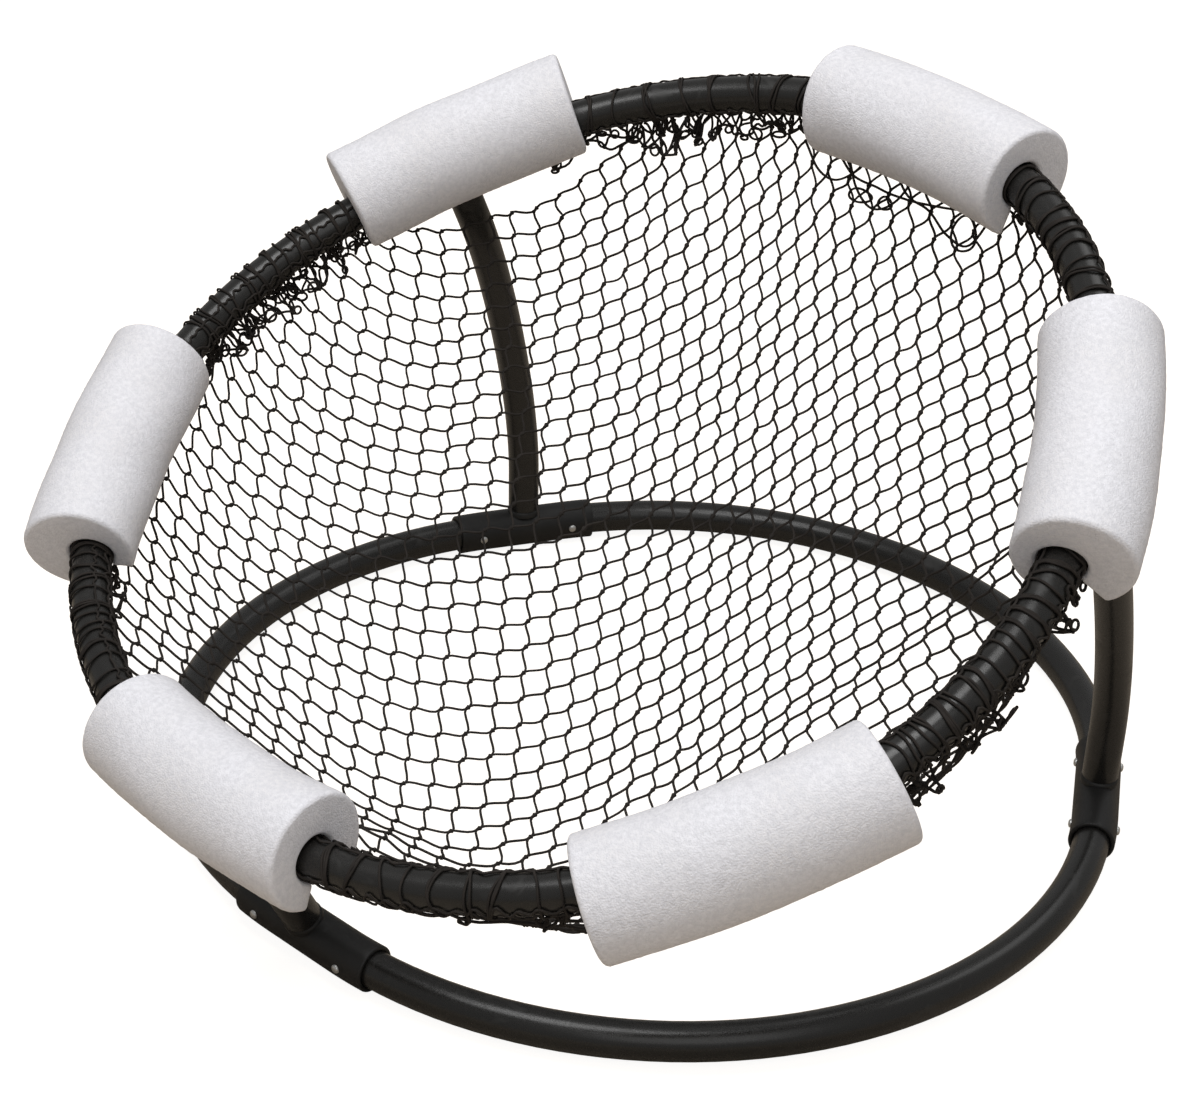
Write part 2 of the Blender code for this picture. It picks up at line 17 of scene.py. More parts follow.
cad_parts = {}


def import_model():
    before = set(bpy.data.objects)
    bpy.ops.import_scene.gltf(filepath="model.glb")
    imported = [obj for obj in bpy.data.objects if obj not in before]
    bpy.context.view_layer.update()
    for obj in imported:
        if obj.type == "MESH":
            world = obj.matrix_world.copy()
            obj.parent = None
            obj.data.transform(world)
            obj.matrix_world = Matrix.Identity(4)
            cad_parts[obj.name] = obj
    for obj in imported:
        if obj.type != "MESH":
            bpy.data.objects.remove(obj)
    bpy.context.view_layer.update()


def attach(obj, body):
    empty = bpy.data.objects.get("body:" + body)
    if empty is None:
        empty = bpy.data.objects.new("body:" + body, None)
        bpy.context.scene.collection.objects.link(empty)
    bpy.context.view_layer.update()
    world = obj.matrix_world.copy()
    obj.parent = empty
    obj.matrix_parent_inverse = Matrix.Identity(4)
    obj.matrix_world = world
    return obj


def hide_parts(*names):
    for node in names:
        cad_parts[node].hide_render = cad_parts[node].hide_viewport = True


logging.basicConfig(level=logging.INFO, format="%(message)s")
LOG = logging.getLogger("target_net")

Array = np.ndarray
Random = np.random.Generator
Item = bpy.types.Object
Socket = bpy.types.NodeSocket
Colour = tuple[float, float, float]

SEED = 7
FRAME_BODY = "frame"
TEES = ("front", "right", "left")
TUBES = ("right_front", "back", "left_front")
FULL_TURN = 2.0 * math.pi
ANY_PHASE = 6.28

# Draws of the net's twines, its loose ones and its edge start this far from the seed
NET_DRAW, LOOSE_DRAW, EDGE_DRAW = 11, 21, 31
UP = np.array([0.0, 0.0, 1.0])
EVERY_TEE = tuple(enumerate(TEES))
EVERY_TUBE = tuple(enumerate(TUBES))

# Sizes shared with the solids
ARC_RADIUS = 0.418
ARC_SWEEP = math.radians(120.0)
TEE_STRAIGHT = 0.078
TEE_WEB = 0.006
TUBE_RADIUS = 0.017
TUBE_WALL = 0.003
SLEEVE_WALL = 0.005
SLEEVE_LENGTH = 0.158
BOSS_PROUD = 0.002
SPIGOT_LENGTH = 0.045
FIT = 0.0003
RIM_TILT = math.radians(25.4)
RIM_TURN = math.radians(-2.5)
FRONT_RISE = 0.200
FOAM_RADIUS = 0.052
ACROSS_SHARE = 0.8

HUB_OFFSET = TEE_STRAIGHT / math.sqrt(3.0)
TEE_RADIUS = ARC_RADIUS + HUB_OFFSET / 2.0
THIRD = ARC_RADIUS * ARC_SWEEP + TEE_STRAIGHT
SLEEVE_RADIUS = TUBE_RADIUS + FIT + SLEEVE_WALL
BOSS_TOP = SLEEVE_RADIUS + BOSS_PROUD
SLEEVE_SKIN = SLEEVE_RADIUS * math.cos(math.pi / 12.0)

# Where both rings stand
RIM_NORMAL = Vector((0.0, -math.sin(RIM_TILT), math.cos(RIM_TILT)))
FRONT_END = -(TEE_RADIUS + FRONT_RISE * math.sin(RIM_TILT) + FOAM_RADIUS)
BACK_END = ARC_RADIUS + HUB_OFFSET + TUBE_RADIUS
ACROSS = TEE_RADIUS * math.sin(RIM_TURN) * ACROSS_SHARE
BASE_FRAME = Matrix.Translation(Vector((ACROSS, -(FRONT_END + BACK_END) / 2.0, SLEEVE_SKIN)))
RIM_ROTATION = Matrix.Rotation(RIM_TILT, 3, "X") @ Matrix.Rotation(RIM_TURN, 3, "Z")
FRONT_TEE = Vector((0.0, -TEE_RADIUS, 0.0))
RIM_MIDDLE = BASE_FRAME @ FRONT_TEE + RIM_NORMAL * FRONT_RISE - RIM_ROTATION @ FRONT_TEE
RIM_FRAME = Matrix.Translation(RIM_MIDDLE) @ RIM_ROTATION.to_4x4()
RIM_AXES = np.array(RIM_FRAME)[:3, :3]
RIM_CENTRE = np.array(RIM_FRAME)[:3, 3]
RIM_BACK = np.array(RIM_FRAME.inverted())

# Details and steps of tubes, tees, rivets and legs
TUBE_SIDES = 32
ARC_STEPS = 48
TEE_SIDES = 40
TEE_BEND_STEPS = 5
TEE_LIP = 0.0017
BOSS_ROOT = 0.0008
BOSS_FLARE = 0.0010
BOSS_LIP = 0.0006
BOSS_NECK = 0.985
SPIGOT_CHAMFER = 0.001
RIVET_HEAD = 0.0042
RIVET_RISE = 0.0024
RIVET_SHANK = 0.0025
RIVET_INSET = 0.026
RIVET_SINK = 0.0009
RIVET_STEPS = 20
DOME_ANGLES = (0.0, 18.0, 36.0, 54.0, 72.0)
DOME_POWER = 0.8
LEG_STEPS = 40
LEG_PULL = 0.25
LEG_LIP = 0.0007
LIP_ANGLE = 50.0

# Shading is smooth where faces meet at less than these angles in degrees
TUBE_SMOOTH, TEE_SMOOTH, RIVET_SMOOTH, FOAM_SMOOTH, BEAD_SMOOTH = 32.0, 38.0, 50.0, 60.0, 80.0


def smooth_step(value: Array | float) -> Array | float:
    """Eases a value from 0 to 1, after holding it between them."""
    bounded = np.clip(value, 0.0, 1.0)
    return bounded * bounded * (3.0 - 2.0 * bounded)


def unit(vectors: Array) -> Array:
    """Scales the vectors in the last axis to length 1."""
    return vectors / np.maximum(norm(vectors, axis=-1, keepdims=True), 1e-9)


def ripple(angles: Array, random: Random) -> Array:
    """A wave over angles that starts at a random phase."""
    return np.sin(angles + random.uniform(0.0, ANY_PHASE))


def cubic_shares(t: Array | float) -> tuple:
    """Shares of a cubic curve's four guides at a step from 0 to 1."""
    return ((1 - t) ** 3, 3 * t * (1 - t) ** 2, 3 * t * t * (1 - t), t**3)


def compass(angles: Array) -> Array:
    """Level unit vectors at angles from +X."""
    return np.stack([np.cos(angles), np.sin(angles), np.zeros_like(angles)], axis=-1)


def stations(distances: Array) -> tuple[Array, Array]:
    """Points of a ring's centreline and their outward directions, in the ring's plane."""
    wrapped = np.mod(distances + TEE_STRAIGHT / 2.0, 3.0 * THIRD)
    third = np.floor(wrapped / THIRD)
    past = wrapped - third * THIRD - TEE_STRAIGHT
    tee_angle = np.radians(-90.0 + 120.0 * third)
    outward = compass(tee_angle + np.clip(past / ARC_RADIUS, 0.0, ARC_SWEEP))
    hubs = HUB_OFFSET * compass(tee_angle + ARC_SWEEP / 2.0)
    tangent = compass(tee_angle)[..., [1, 0, 2]] * np.array([-1.0, 1.0, 0.0])
    return hubs + ARC_RADIUS * outward + np.minimum(past, 0.0)[..., None] * tangent, outward


def station(distance: float) -> tuple[Vector, Vector, Vector]:
    """One point of the centreline, its outward direction and its direction along the ring."""
    centre, outward = stations(np.array([distance]))
    out = Vector(outward[0])
    return Vector(centre[0]), out, Vector((-out.y, out.x, 0.0))


def hub(tee: int) -> Vector:
    """Middle of the arc that follows a tee."""
    angle = math.radians(-90.0 + 120.0 * tee) + ARC_SWEEP / 2.0
    return Vector((math.cos(angle), math.sin(angle), 0.0)) * HUB_OFFSET


def from_tee(distances: Array) -> Array:
    """How far each distance is from the nearest tee."""
    return np.abs(np.mod(distances + THIRD / 2.0, THIRD) - THIRD / 2.0)


def rim_to_world(points: Array) -> Array:
    """Places points of the rim's own frame in the world."""
    return points @ RIM_AXES.T + RIM_CENTRE


def ring_faces(rows: int, count: int) -> list[tuple[int, int, int, int]]:
    """Faces between closed rows of equally many points."""
    faces = []
    for row in range(rows - 1):
        for i in range(count):
            a, b = row * count, (row + 1) * count
            j = (i + 1) % count
            faces.append((a + i, a + j, b + j, b + i))
    return faces


def deselect() -> None:
    """Leaves nothing selected."""
    if bpy.context.object and bpy.context.object.mode != "OBJECT":
        bpy.ops.object.mode_set(mode="OBJECT")
    bpy.ops.object.select_all(action="DESELECT")


def pick(item: Item) -> None:
    """Makes one object the only selected and active one."""
    deselect()
    item.select_set(True)
    bpy.context.view_layer.objects.active = item


def add_object(name: str, data: bpy.types.ID) -> Item:
    """Adds an object that shows some data."""
    item = bpy.data.objects.new(name, data)
    bpy.context.scene.collection.objects.link(item)
    return item


def from_points(name: str, points: Array, faces: list, edges: list | None = None) -> Item:
    """Makes an object of given points, faces and loose edges."""
    mesh = bpy.data.meshes.new(name)
    mesh.from_pydata(points.tolist(), edges or [], faces)
    mesh.update()
    return add_object(name, mesh)


def start_loop(name: str, radius: float, sides: int, centre: Vector, along: Vector) -> Item:
    """Adds an open circle square to a direction and starts editing it."""
    deselect()
    turn = along.to_track_quat("Z", "Y").to_euler()
    bpy.ops.mesh.primitive_circle_add(
        vertices=sides, radius=radius, fill_type="NOTHING", location=centre, rotation=turn
    )
    item = bpy.context.object
    item.name = name
    bpy.ops.object.mode_set(mode="EDIT")
    return item


def extrude(move: Vector) -> None:
    """Extrudes the selected loop along a vector."""
    bpy.ops.mesh.extrude_region_move(TRANSFORM_OT_translate={"value": tuple(move)})


def spin(centre: Vector, turn: float, steps: int) -> None:
    """Spins the selected loop about an upright axis, anticlockwise where the turn is positive."""
    bpy.ops.mesh.spin(steps=steps, angle=-turn, center=tuple(centre), axis=(0.0, 0.0, 1.0))


def end_editing() -> None:
    """Merges doubles, turns all faces outwards and ends editing."""
    bpy.ops.mesh.select_all(action="SELECT")
    bpy.ops.mesh.remove_doubles(threshold=1e-6)
    bpy.ops.mesh.normals_make_consistent(inside=False)
    bpy.ops.object.mode_set(mode="OBJECT")


def bake_modifiers(item: Item) -> None:
    """Applies every modifier of an object."""
    pick(item)
    for modifier in list(item.modifiers):
        bpy.ops.object.modifier_apply(modifier=modifier.name)


def thicken(item: Item, wall: float, lip: float = 0.0) -> None:
    """Gives an open skin its wall on the inside, with rounded ends where a lip is given."""
    solid = item.modifiers.new("wall", "SOLIDIFY")
    solid.thickness = wall
    solid.offset = -1.0
    solid.use_even_offset = True
    if lip > 0.0:
        bevel = item.modifiers.new("lip", "BEVEL")
        bevel.width = lip
        bevel.segments = 3
        bevel.limit_method = "ANGLE"
        bevel.angle_limit = math.radians(LIP_ANGLE)
    bake_modifiers(item)


def place_at(item: Item, matrix: Matrix) -> None:
    """Moves an object by a matrix and writes the move into its mesh."""
    item.matrix_world = matrix @ item.matrix_world
    pick(item)
    bpy.ops.object.transform_apply(location=True, rotation=True, scale=True)


def smooth(item: Item, degrees: float) -> None:
    """Shades an object smooth where its faces meet at less than an angle."""
    pick(item)
    bpy.ops.object.shade_smooth_by_angle(angle=math.radians(degrees))


class NodeSheet:
    """Builds one node tree with short calls, whose inputs are numbers, colours or other nodes' outputs."""

    def __init__(self, tree: bpy.types.NodeTree) -> None:
        """Keeps the tree."""
        self.tree = tree

    def fill(self, node: bpy.types.Node, inputs: dict) -> None:
        """Fills a node's inputs by name or number."""
        for name, value in inputs.items():
            if isinstance(value, Socket):
                self.tree.links.new(value, node.inputs[name])
            else:
                node.inputs[name].default_value = (*value, 1.0) if isinstance(value, tuple) else value

    def add(self, kind: str, inputs: dict, **settings: object) -> bpy.types.Node:
        """Adds a shader node, sets its properties and fills its inputs."""
        node = self.tree.nodes.new(f"ShaderNode{kind}")
        for name, value in settings.items():
            setattr(node, name, value)
        self.fill(node, inputs)
        return node

    def noise(self, place: Socket, scale: Socket | float, detail: float, distortion: float = 0.0) -> Socket:
        """Adds a noise texture."""
        inputs = {"Vector": place, "Scale": scale, "Detail": detail, "Distortion": distortion}
        return self.add("TexNoise", inputs).outputs["Fac"]

    def spread(
        self, value: Socket, low: float, high: float, to_low: float = 0.0, to_high: float = 1.0
    ) -> Socket:
        """Maps a value from one range to another and holds it there."""
        inputs = {"Value": value, "From Min": low, "From Max": high, "To Min": to_low, "To Max": to_high}
        return self.add("MapRange", inputs).outputs["Result"]

    def mix_colour(self, share: Socket, first: Colour | Socket, second: Colour | Socket) -> Socket:
        """Mixes two colours by a share."""
        return self.add("Mix", {0: share, 6: first, 7: second}, data_type="RGBA").outputs[2]

    def math(self, operation: str, *values: Socket | float) -> Socket:
        """Adds a maths node."""
        return self.add("Math", dict(enumerate(values)), operation=operation).outputs[0]


# Scuffs: fineness against the blotches, where the noise counts, and what they do to colour and gloss
SCUFF_FINENESS, SCUFF_DISTORTION, SCUFF_RANGE = 4.3, 1.2, (0.60, 0.74)
SCUFF_GAIN, SCUFF_LIFT, SCUFF_COLOUR, SCUFF_ROUGH = 1.9, 0.012, 0.35, 0.16
GRAIN_RANGE, ROUGH_BELOW, ROUGH_ABOVE = (0.3, 0.7), 0.06, 0.07
# Foam: its bubbles and pits, how much darker they are (painted shade in the hollows between bubbles, and
# random darker pits), its glints, and how far light goes in
BUBBLE_SCALE, BUBBLE_SHADE_SHARE = 620.0, 0.30
PIT_SCALE, PIT_SHARE, PIT_RANGE, PIT_AND_HOLLOW_SHADE = 250.0, 0.75, (0.36, 0.64), 0.84
GLINT_RANGE, GLINT_ROUGHNESS = (0.60, 0.70), 0.22
SCATTER_SHARE, SCATTER_DEPTH = 0.12, 0.004
# Twine: where fibres show, how strongly, and how pale their dust is
FIBRE_RANGE, FIBRE_SHARE, DUST_GAIN, TWINE_UNEVENNESS = (0.55, 0.8), 0.5, 2.2, 0.1


def make_grain() -> bpy.types.NodeTree:
    """Builds the effect that all finishes share: fine grain, slow blotches and light scuffs."""
    tree = bpy.data.node_groups.new("surface_grain", "ShaderNodeTree")
    tree.interface.new_socket(name="Vector", in_out="INPUT", socket_type="NodeSocketVector")
    for name, value in (("Grain Scale", 800.0), ("Blotch Scale", 12.0)):
        socket = tree.interface.new_socket(name=name, in_out="INPUT", socket_type="NodeSocketFloat")
        socket.default_value = value
    for name in ("Grain", "Blotch", "Scuff"):
        tree.interface.new_socket(name=name, in_out="OUTPUT", socket_type="NodeSocketFloat")
    sheet = NodeSheet(tree)
    given = tree.nodes.new("NodeGroupInput").outputs
    place, blotch_scale = given["Vector"], given["Blotch Scale"]
    scuff = sheet.noise(place, sheet.math("MULTIPLY", blotch_scale, SCUFF_FINENESS), 5.0, SCUFF_DISTORTION)
    found = {
        "Grain": sheet.noise(place, given["Grain Scale"], 2.0),
        "Blotch": sheet.noise(place, blotch_scale, 4.0),
        "Scuff": sheet.spread(scuff, *SCUFF_RANGE),
    }
    sheet.fill(tree.nodes.new("NodeGroupOutput"), found)
    return tree


@dataclass
class Finish:
    """One surface finish: two colours that its blotches mix, its gloss, and its grain as relief."""

    name: str
    colour: Colour
    second: Colour
    roughness: float
    grain_scale: float
    blotch_scale: float
    bump: float
    bump_distance: float
    metallic: float = 0.0
    specular: float = 0.5
    blotch_range: tuple[float, float] = (0.35, 0.68)

    def start(self, grain: bpy.types.NodeTree) -> bpy.types.Material:
        """Makes the material with its shader, its grain group and its blotched colour."""
        material = bpy.data.materials.new(self.name)
        material.use_nodes = True
        self.sheet = NodeSheet(material.node_tree)
        self.shader = material.node_tree.nodes["Principled BSDF"]
        self.sheet.fill(self.shader, {"Metallic": self.metallic, "Specular IOR Level": self.specular})
        self.place = self.sheet.add("TexCoord", {}).outputs["Object"]
        inputs = {"Vector": self.place, "Grain Scale": self.grain_scale, "Blotch Scale": self.blotch_scale}
        group = self.sheet.add("Group", inputs, node_tree=grain)
        self.grain, self.scuff = group.outputs["Grain"], group.outputs["Scuff"]
        share = self.sheet.spread(group.outputs["Blotch"], *self.blotch_range)
        self.blotched = self.sheet.mix_colour(share, self.colour, self.second)
        return material

    def end(self, colour: Socket, rough: Socket, height: Socket) -> None:
        """Feeds colour, roughness and relief to the shader."""
        inputs = {"Strength": self.bump, "Distance": self.bump_distance, "Height": height}
        normal = self.sheet.add("Bump", inputs).outputs["Normal"]
        self.sheet.fill(self.shader, {"Base Color": colour, "Roughness": rough, "Normal": normal})

    def make(self, grain: bpy.types.NodeTree) -> bpy.types.Material:
        """Makes a moulded or metal surface with light scuffs."""
        material = self.start(grain)
        sheet = self.sheet
        scuffed = tuple(min(part * SCUFF_GAIN + SCUFF_LIFT, 1.0) for part in self.second)
        share = sheet.math("MULTIPLY", self.scuff, SCUFF_COLOUR)
        colour = sheet.mix_colour(share, self.blotched, scuffed)
        low, high = self.roughness - ROUGH_BELOW, self.roughness + ROUGH_ABOVE
        rough = sheet.spread(self.grain, *GRAIN_RANGE, low, high)
        self.end(colour, sheet.math("MULTIPLY_ADD", self.scuff, SCUFF_ROUGH, rough), self.grain)
        return material


class FoamFinish(Finish):
    """White closed-cell foam: fine bubbles that sparkle, painted shade in the hollows between them, and faint
    warm and lavender patches.
    """

    def make(self, grain: bpy.types.NodeTree) -> bpy.types.Material:
        """Makes the foam."""
        material = self.start(grain)
        sheet = self.sheet
        inputs = {"Vector": self.place, "Scale": BUBBLE_SCALE, "Randomness": 1.0}
        bubble = sheet.add("TexVoronoi", inputs, feature="F1").outputs["Distance"]
        pits = sheet.spread(sheet.noise(self.place, PIT_SCALE, 3.0), *PIT_RANGE)
        pits = sheet.math("MULTIPLY", pits, PIT_SHARE)
        # Painted shade: the colour darkens in the hollows between bubbles, where the relief is lowest, mixed
        # with random darker pits that are the foam's own mottle
        pits_and_hollow_shade = sheet.math("MULTIPLY_ADD", bubble, BUBBLE_SHADE_SHARE, pits)
        colour = sheet.mix_colour(pits_and_hollow_shade, self.blotched, tuple(part * PIT_AND_HOLLOW_SHADE for part in self.colour))
        glints = sheet.spread(self.grain, *GLINT_RANGE, self.roughness, GLINT_ROUGHNESS)
        self.end(colour, glints, sheet.math("SUBTRACT", self.grain, bubble))
        self.shader.inputs["Subsurface Weight"].default_value = SCATTER_SHARE
        self.shader.inputs["Subsurface Radius"].default_value = (SCATTER_DEPTH,) * 3
        return material


class TwineFinish(Finish):
    """Dark twine with dusty fibres."""

    def make(self, grain: bpy.types.NodeTree) -> bpy.types.Material:
        """Makes the twine."""
        material = self.start(grain)
        fibres = self.sheet.spread(self.grain, *FIBRE_RANGE, 0.0, FIBRE_SHARE)
        dusty = tuple(part * DUST_GAIN for part in self.second)
        colour = self.sheet.mix_colour(fibres, self.blotched, dusty)
        low, high = self.roughness - TWINE_UNEVENNESS, self.roughness + TWINE_UNEVENNESS
        rough = self.sheet.spread(self.grain, *GRAIN_RANGE, low, high)
        self.end(colour, rough, self.grain)
        return material


FINISHES = {
    "tube": Finish(
        "black_tube",
        colour=(0.0085, 0.0080, 0.0070),
        second=(0.0125, 0.0118, 0.0108),
        roughness=0.29,
        grain_scale=1500.0,
        blotch_scale=9.0,
        bump=0.10,
        bump_distance=0.0003,
        specular=0.48,
    ),
    "tee": Finish(
        "black_tee",
        colour=(0.0095, 0.0092, 0.0088),
        second=(0.0140, 0.0136, 0.0130),
        roughness=0.46,
        grain_scale=1100.0,
        blotch_scale=14.0,
        bump=0.22,
        bump_distance=0.0004,
        specular=0.30,
    ),
    "rivet": Finish(
        "rivet_metal",
        colour=(0.62, 0.62, 0.60),
        second=(0.50, 0.50, 0.49),
        roughness=0.36,
        grain_scale=2600.0,
        blotch_scale=120.0,
        bump=0.08,
        bump_distance=0.0002,
        metallic=0.85,
    ),
    "foam": FoamFinish(
        "white_foam",
        colour=(0.86, 0.854, 0.895),
        second=(0.825, 0.810, 0.828),
        roughness=0.60,
        grain_scale=700.0,
        blotch_scale=16.0,
        bump=0.36,
        bump_distance=0.0012,
        blotch_range=(0.36, 0.66),
    ),
    "twine": TwineFinish(
        "black_twine",
        colour=(0.0140, 0.0115, 0.0098),
        second=(0.0240, 0.0196, 0.0168),
        roughness=0.78,
        grain_scale=2400.0,
        blotch_scale=60.0,
        bump=0.35,
        bump_distance=0.0003,
        specular=0.25,
        blotch_range=(0.35, 0.65),
    ),
}
MATERIALS: dict[str, bpy.types.Material] = {}


def hand_in(item: Item, slot: str, node: str, body: str = FRAME_BODY) -> None:
    """Dresses a finished piece in its slot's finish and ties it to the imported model."""
    item.data.materials.clear()
    item.data.materials.append(MATERIALS[slot])
    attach(item, body)
    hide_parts(node)
    LOG.info("%s: %d faces on %s", item.name, len(item.data.polygons), body)


def build_tubes(kind: str, frame: Matrix) -> None:
    """Builds the three bent tubes of one ring."""
    gap = TEE_WEB / 2.0 + FIT
    straight = TEE_STRAIGHT / 2.0 - gap
    for tee, tube_name in EVERY_TUBE:
        start, _, along = station(tee * THIRD + gap)
        name = f"{kind}_tube_{tube_name}"
        tube = start_loop(f"{name}_skin", TUBE_RADIUS, TUBE_SIDES, start, along)
        extrude(along * straight)
        spin(hub(tee), ARC_SWEEP, ARC_STEPS)
        extrude(station((tee + 1) * THIRD)[2] * straight)
        end_editing()
        thicken(tube, TUBE_WALL)
        place_at(tube, frame)
        smooth(tube, TUBE_SMOOTH)
        hand_in(tube, "tube", name)


def model_sleeve(name: str, tee: int) -> Item:
    """Models a tee's sleeve with rounded lips along the ring's path."""
    half = SLEEVE_LENGTH / 2.0
    bend = (half - TEE_STRAIGHT / 2.0) / ARC_RADIUS
    start, _, along = station(tee * THIRD - half)
    sleeve = start_loop(f"{name}_sleeve", SLEEVE_SKIN, TEE_SIDES, start, along)
    spin(hub((tee + 2) % 3), bend, TEE_BEND_STEPS)
    extrude(station(tee * THIRD)[2] * TEE_STRAIGHT)
    spin(hub(tee), bend, TEE_BEND_STEPS)
    end_editing()
    thicken(sleeve, SLEEVE_SKIN - TUBE_RADIUS - FIT, TEE_LIP)
    return sleeve


def model_boss(centre: Vector, branch: Vector) -> Item:
    """Models a tee's boss and spigot as a stack of loops pulled out along the branch."""
    spigot = TUBE_RADIUS - TUBE_WALL - FIT
    flare = TUBE_RADIUS + BOSS_FLARE
    height, radius = SLEEVE_RADIUS - SLEEVE_WALL + BOSS_ROOT, flare
    boss = start_loop("boss", radius, TUBE_SIDES, centre + branch * height, branch)
    bpy.ops.mesh.edge_face_add()
    steps = (
        (SLEEVE_RADIUS * BOSS_NECK, flare),
        (BOSS_TOP - BOSS_LIP, TUBE_RADIUS),
        (BOSS_TOP, TUBE_RADIUS - BOSS_LIP),
        (BOSS_TOP, spigot),
        (BOSS_TOP + SPIGOT_LENGTH - SPIGOT_CHAMFER, spigot),
        (BOSS_TOP + SPIGOT_LENGTH, spigot - SPIGOT_CHAMFER),
    )
    for next_height, next_radius in steps:
        extrude(branch * (next_height - height))
        factor = next_radius / radius
        about = tuple(centre + branch * next_height)
        bpy.ops.transform.resize(value=(factor, factor, factor), center_override=about)
        height, radius = next_height, next_radius
    end_editing()
    return boss


def build_tees(kind: str, frame: Matrix) -> None:
    """Builds the three tees of one ring, whose branches point to the legs."""
    for tee, tee_name in EVERY_TEE:
        branch = Vector((0.0, 0.0, -1.0 if kind == "rim" else 1.0))
        if kind == "base" and tee_name == "front":
            branch = RIM_NORMAL
        name = f"{kind}_tee_{tee_name}"
        sleeve = model_sleeve(name, tee)
        boss = model_boss(station(tee * THIRD)[0], branch)
        joined = sleeve.modifiers.new("boss", "BOOLEAN")
        joined.operation = "UNION"
        joined.solver = "EXACT"
        joined.object = boss
        bake_modifiers(sleeve)
        bpy.data.objects.remove(boss)
        place_at(sleeve, frame)
        smooth(sleeve, TEE_SMOOTH)
        hand_in(sleeve, "tee", name)


def model_rivet() -> Item:
    """Models one rivet with two domed heads, standing on the Z axis, by spinning its outline."""
    seat = SLEEVE_SKIN - RIVET_SINK
    upper = [(RIVET_SHANK, seat), (RIVET_HEAD, seat)]
    for angle in DOME_ANGLES:
        turn = math.radians(angle)
        upper.append((RIVET_HEAD * math.cos(turn) ** DOME_POWER, SLEEVE_SKIN + RIVET_RISE * math.sin(turn)))
    upper.append((0.0, SLEEVE_SKIN + RIVET_RISE))
    outline = [(radius, -height) for radius, height in reversed(upper)] + upper
    points = np.array([(radius, 0.0, height) for radius, height in outline])
    rivet = from_points("rivet", points, [], [(i, i + 1) for i in range(len(points) - 1)])
    pick(rivet)
    bpy.ops.object.mode_set(mode="EDIT")
    bpy.ops.mesh.select_all(action="SELECT")
    bpy.ops.mesh.spin(steps=RIVET_STEPS, angle=FULL_TURN, center=(0.0, 0.0, 0.0), axis=(0.0, 0.0, 1.0))
    end_editing()
    return rivet


def build_rivets(kind: str, frame: Matrix) -> None:
    """Builds two rivets through each tee of one ring."""
    pattern = model_rivet()
    reach = SLEEVE_LENGTH / 2.0 - RIVET_INSET
    for tee, tee_name in EVERY_TEE:
        for letter, shift in (("a", -reach), ("b", reach)):
            centre, outward, _ = station(tee * THIRD + shift)
            name = f"{kind}_rivet_{tee_name}_{letter}"
            rivet = add_object(f"{name}_head", pattern.data.copy())
            turn = outward.to_track_quat("Z", "Y").to_matrix().to_4x4()
            place_at(rivet, frame @ Matrix.Translation(centre) @ turn)
            smooth(rivet, RIVET_SMOOTH)
            hand_in(rivet, "rivet", name)
    bpy.data.objects.remove(pattern)


def leg_line(tee: int) -> list[Vector]:
    """Points of a leg's centreline: straight in front, and gently bowed behind."""
    centre, _, _ = station(tee * THIRD)
    seat, grip = BOSS_TOP + FIT, SPIGOT_LENGTH + FIT
    top = RIM_FRAME @ centre - seat * RIM_NORMAL
    if TEES[tee] == "front":
        foot = BASE_FRAME @ centre + seat * RIM_NORMAL
        return [foot, foot + grip * RIM_NORMAL, top - grip * RIM_NORMAL, top]
    up = Vector((0.0, 0.0, 1.0))
    foot = BASE_FRAME @ centre + seat * up
    lower, upper = foot + grip * up, top - grip * RIM_NORMAL
    reach = LEG_PULL * (upper - lower).length
    guides = (lower, lower + reach * up, upper - reach * RIM_NORMAL, upper)
    middle = []
    for step in range(LEG_STEPS + 1):
        shares = cubic_shares(step / LEG_STEPS)
        middle.append(sum((guide * share for guide, share in zip(guides, shares)), Vector()))
    return [foot, *middle, top]


def tilt_loop(heading: Vector, next_heading: Vector, centre: Vector) -> None:
    """Turns the selected loop from one heading to the next about its middle."""
    axis = heading.cross(next_heading)
    if axis.length < 1e-7:
        return
    turned = Matrix.Rotation(heading.angle(next_heading), 3, axis.normalized())
    mesh = bpy.context.edit_object.data
    bpy.ops.object.mode_set(mode="OBJECT")
    world = bpy.context.object.matrix_world
    back = world.inverted()
    for vertex in mesh.vertices:
        if vertex.select:
            vertex.co = back @ (centre + turned @ (world @ vertex.co - centre))
    bpy.ops.object.mode_set(mode="EDIT")


def build_legs() -> None:
    """Builds the legs by pulling a loop along each centreline."""
    for tee, tee_name in EVERY_TEE:
        points = leg_line(tee)
        name = f"leg_{tee_name}"
        heading = (points[1] - points[0]).normalized()
        leg = start_loop(f"{name}_skin", TUBE_RADIUS, TUBE_SIDES, points[0], heading)
        for before, here, after in zip(points, points[1:], [*points[2:], points[-1]]):
            extrude(here - before)
            next_heading = (after - before).normalized()
            tilt_loop(heading, next_heading, here)
            heading = next_heading
        end_editing()
        thicken(leg, TUBE_WALL, LEG_LIP)
        place_at(leg, Matrix.Identity(4))
        smooth(leg, TUBE_SMOOTH)
        hand_in(leg, "tube", name)


# Each foam sleeve's seat: its shift along the rim, and how far its own axis lies outward of the tube's
# and above it
FOAM_SEATS = {
    "front": (-0.010, -0.002, 0.004),
    "right_front": (-0.012, 0.003, 0.003),
    "right": (-0.021, 0.005, 0.004),
    "back": (-0.039, -0.005, -0.002),
    "left": (-0.012, 0.005, 0.013),
    "left_front": (-0.002, 0.000, 0.007),
}
# A sleeve's length, its bend as a share of the rim's, and its outside
FOAM_LENGTH = 0.242
FOAM_BEND = 0.42
FOAM_SKIN = FOAM_RADIUS - 0.0003
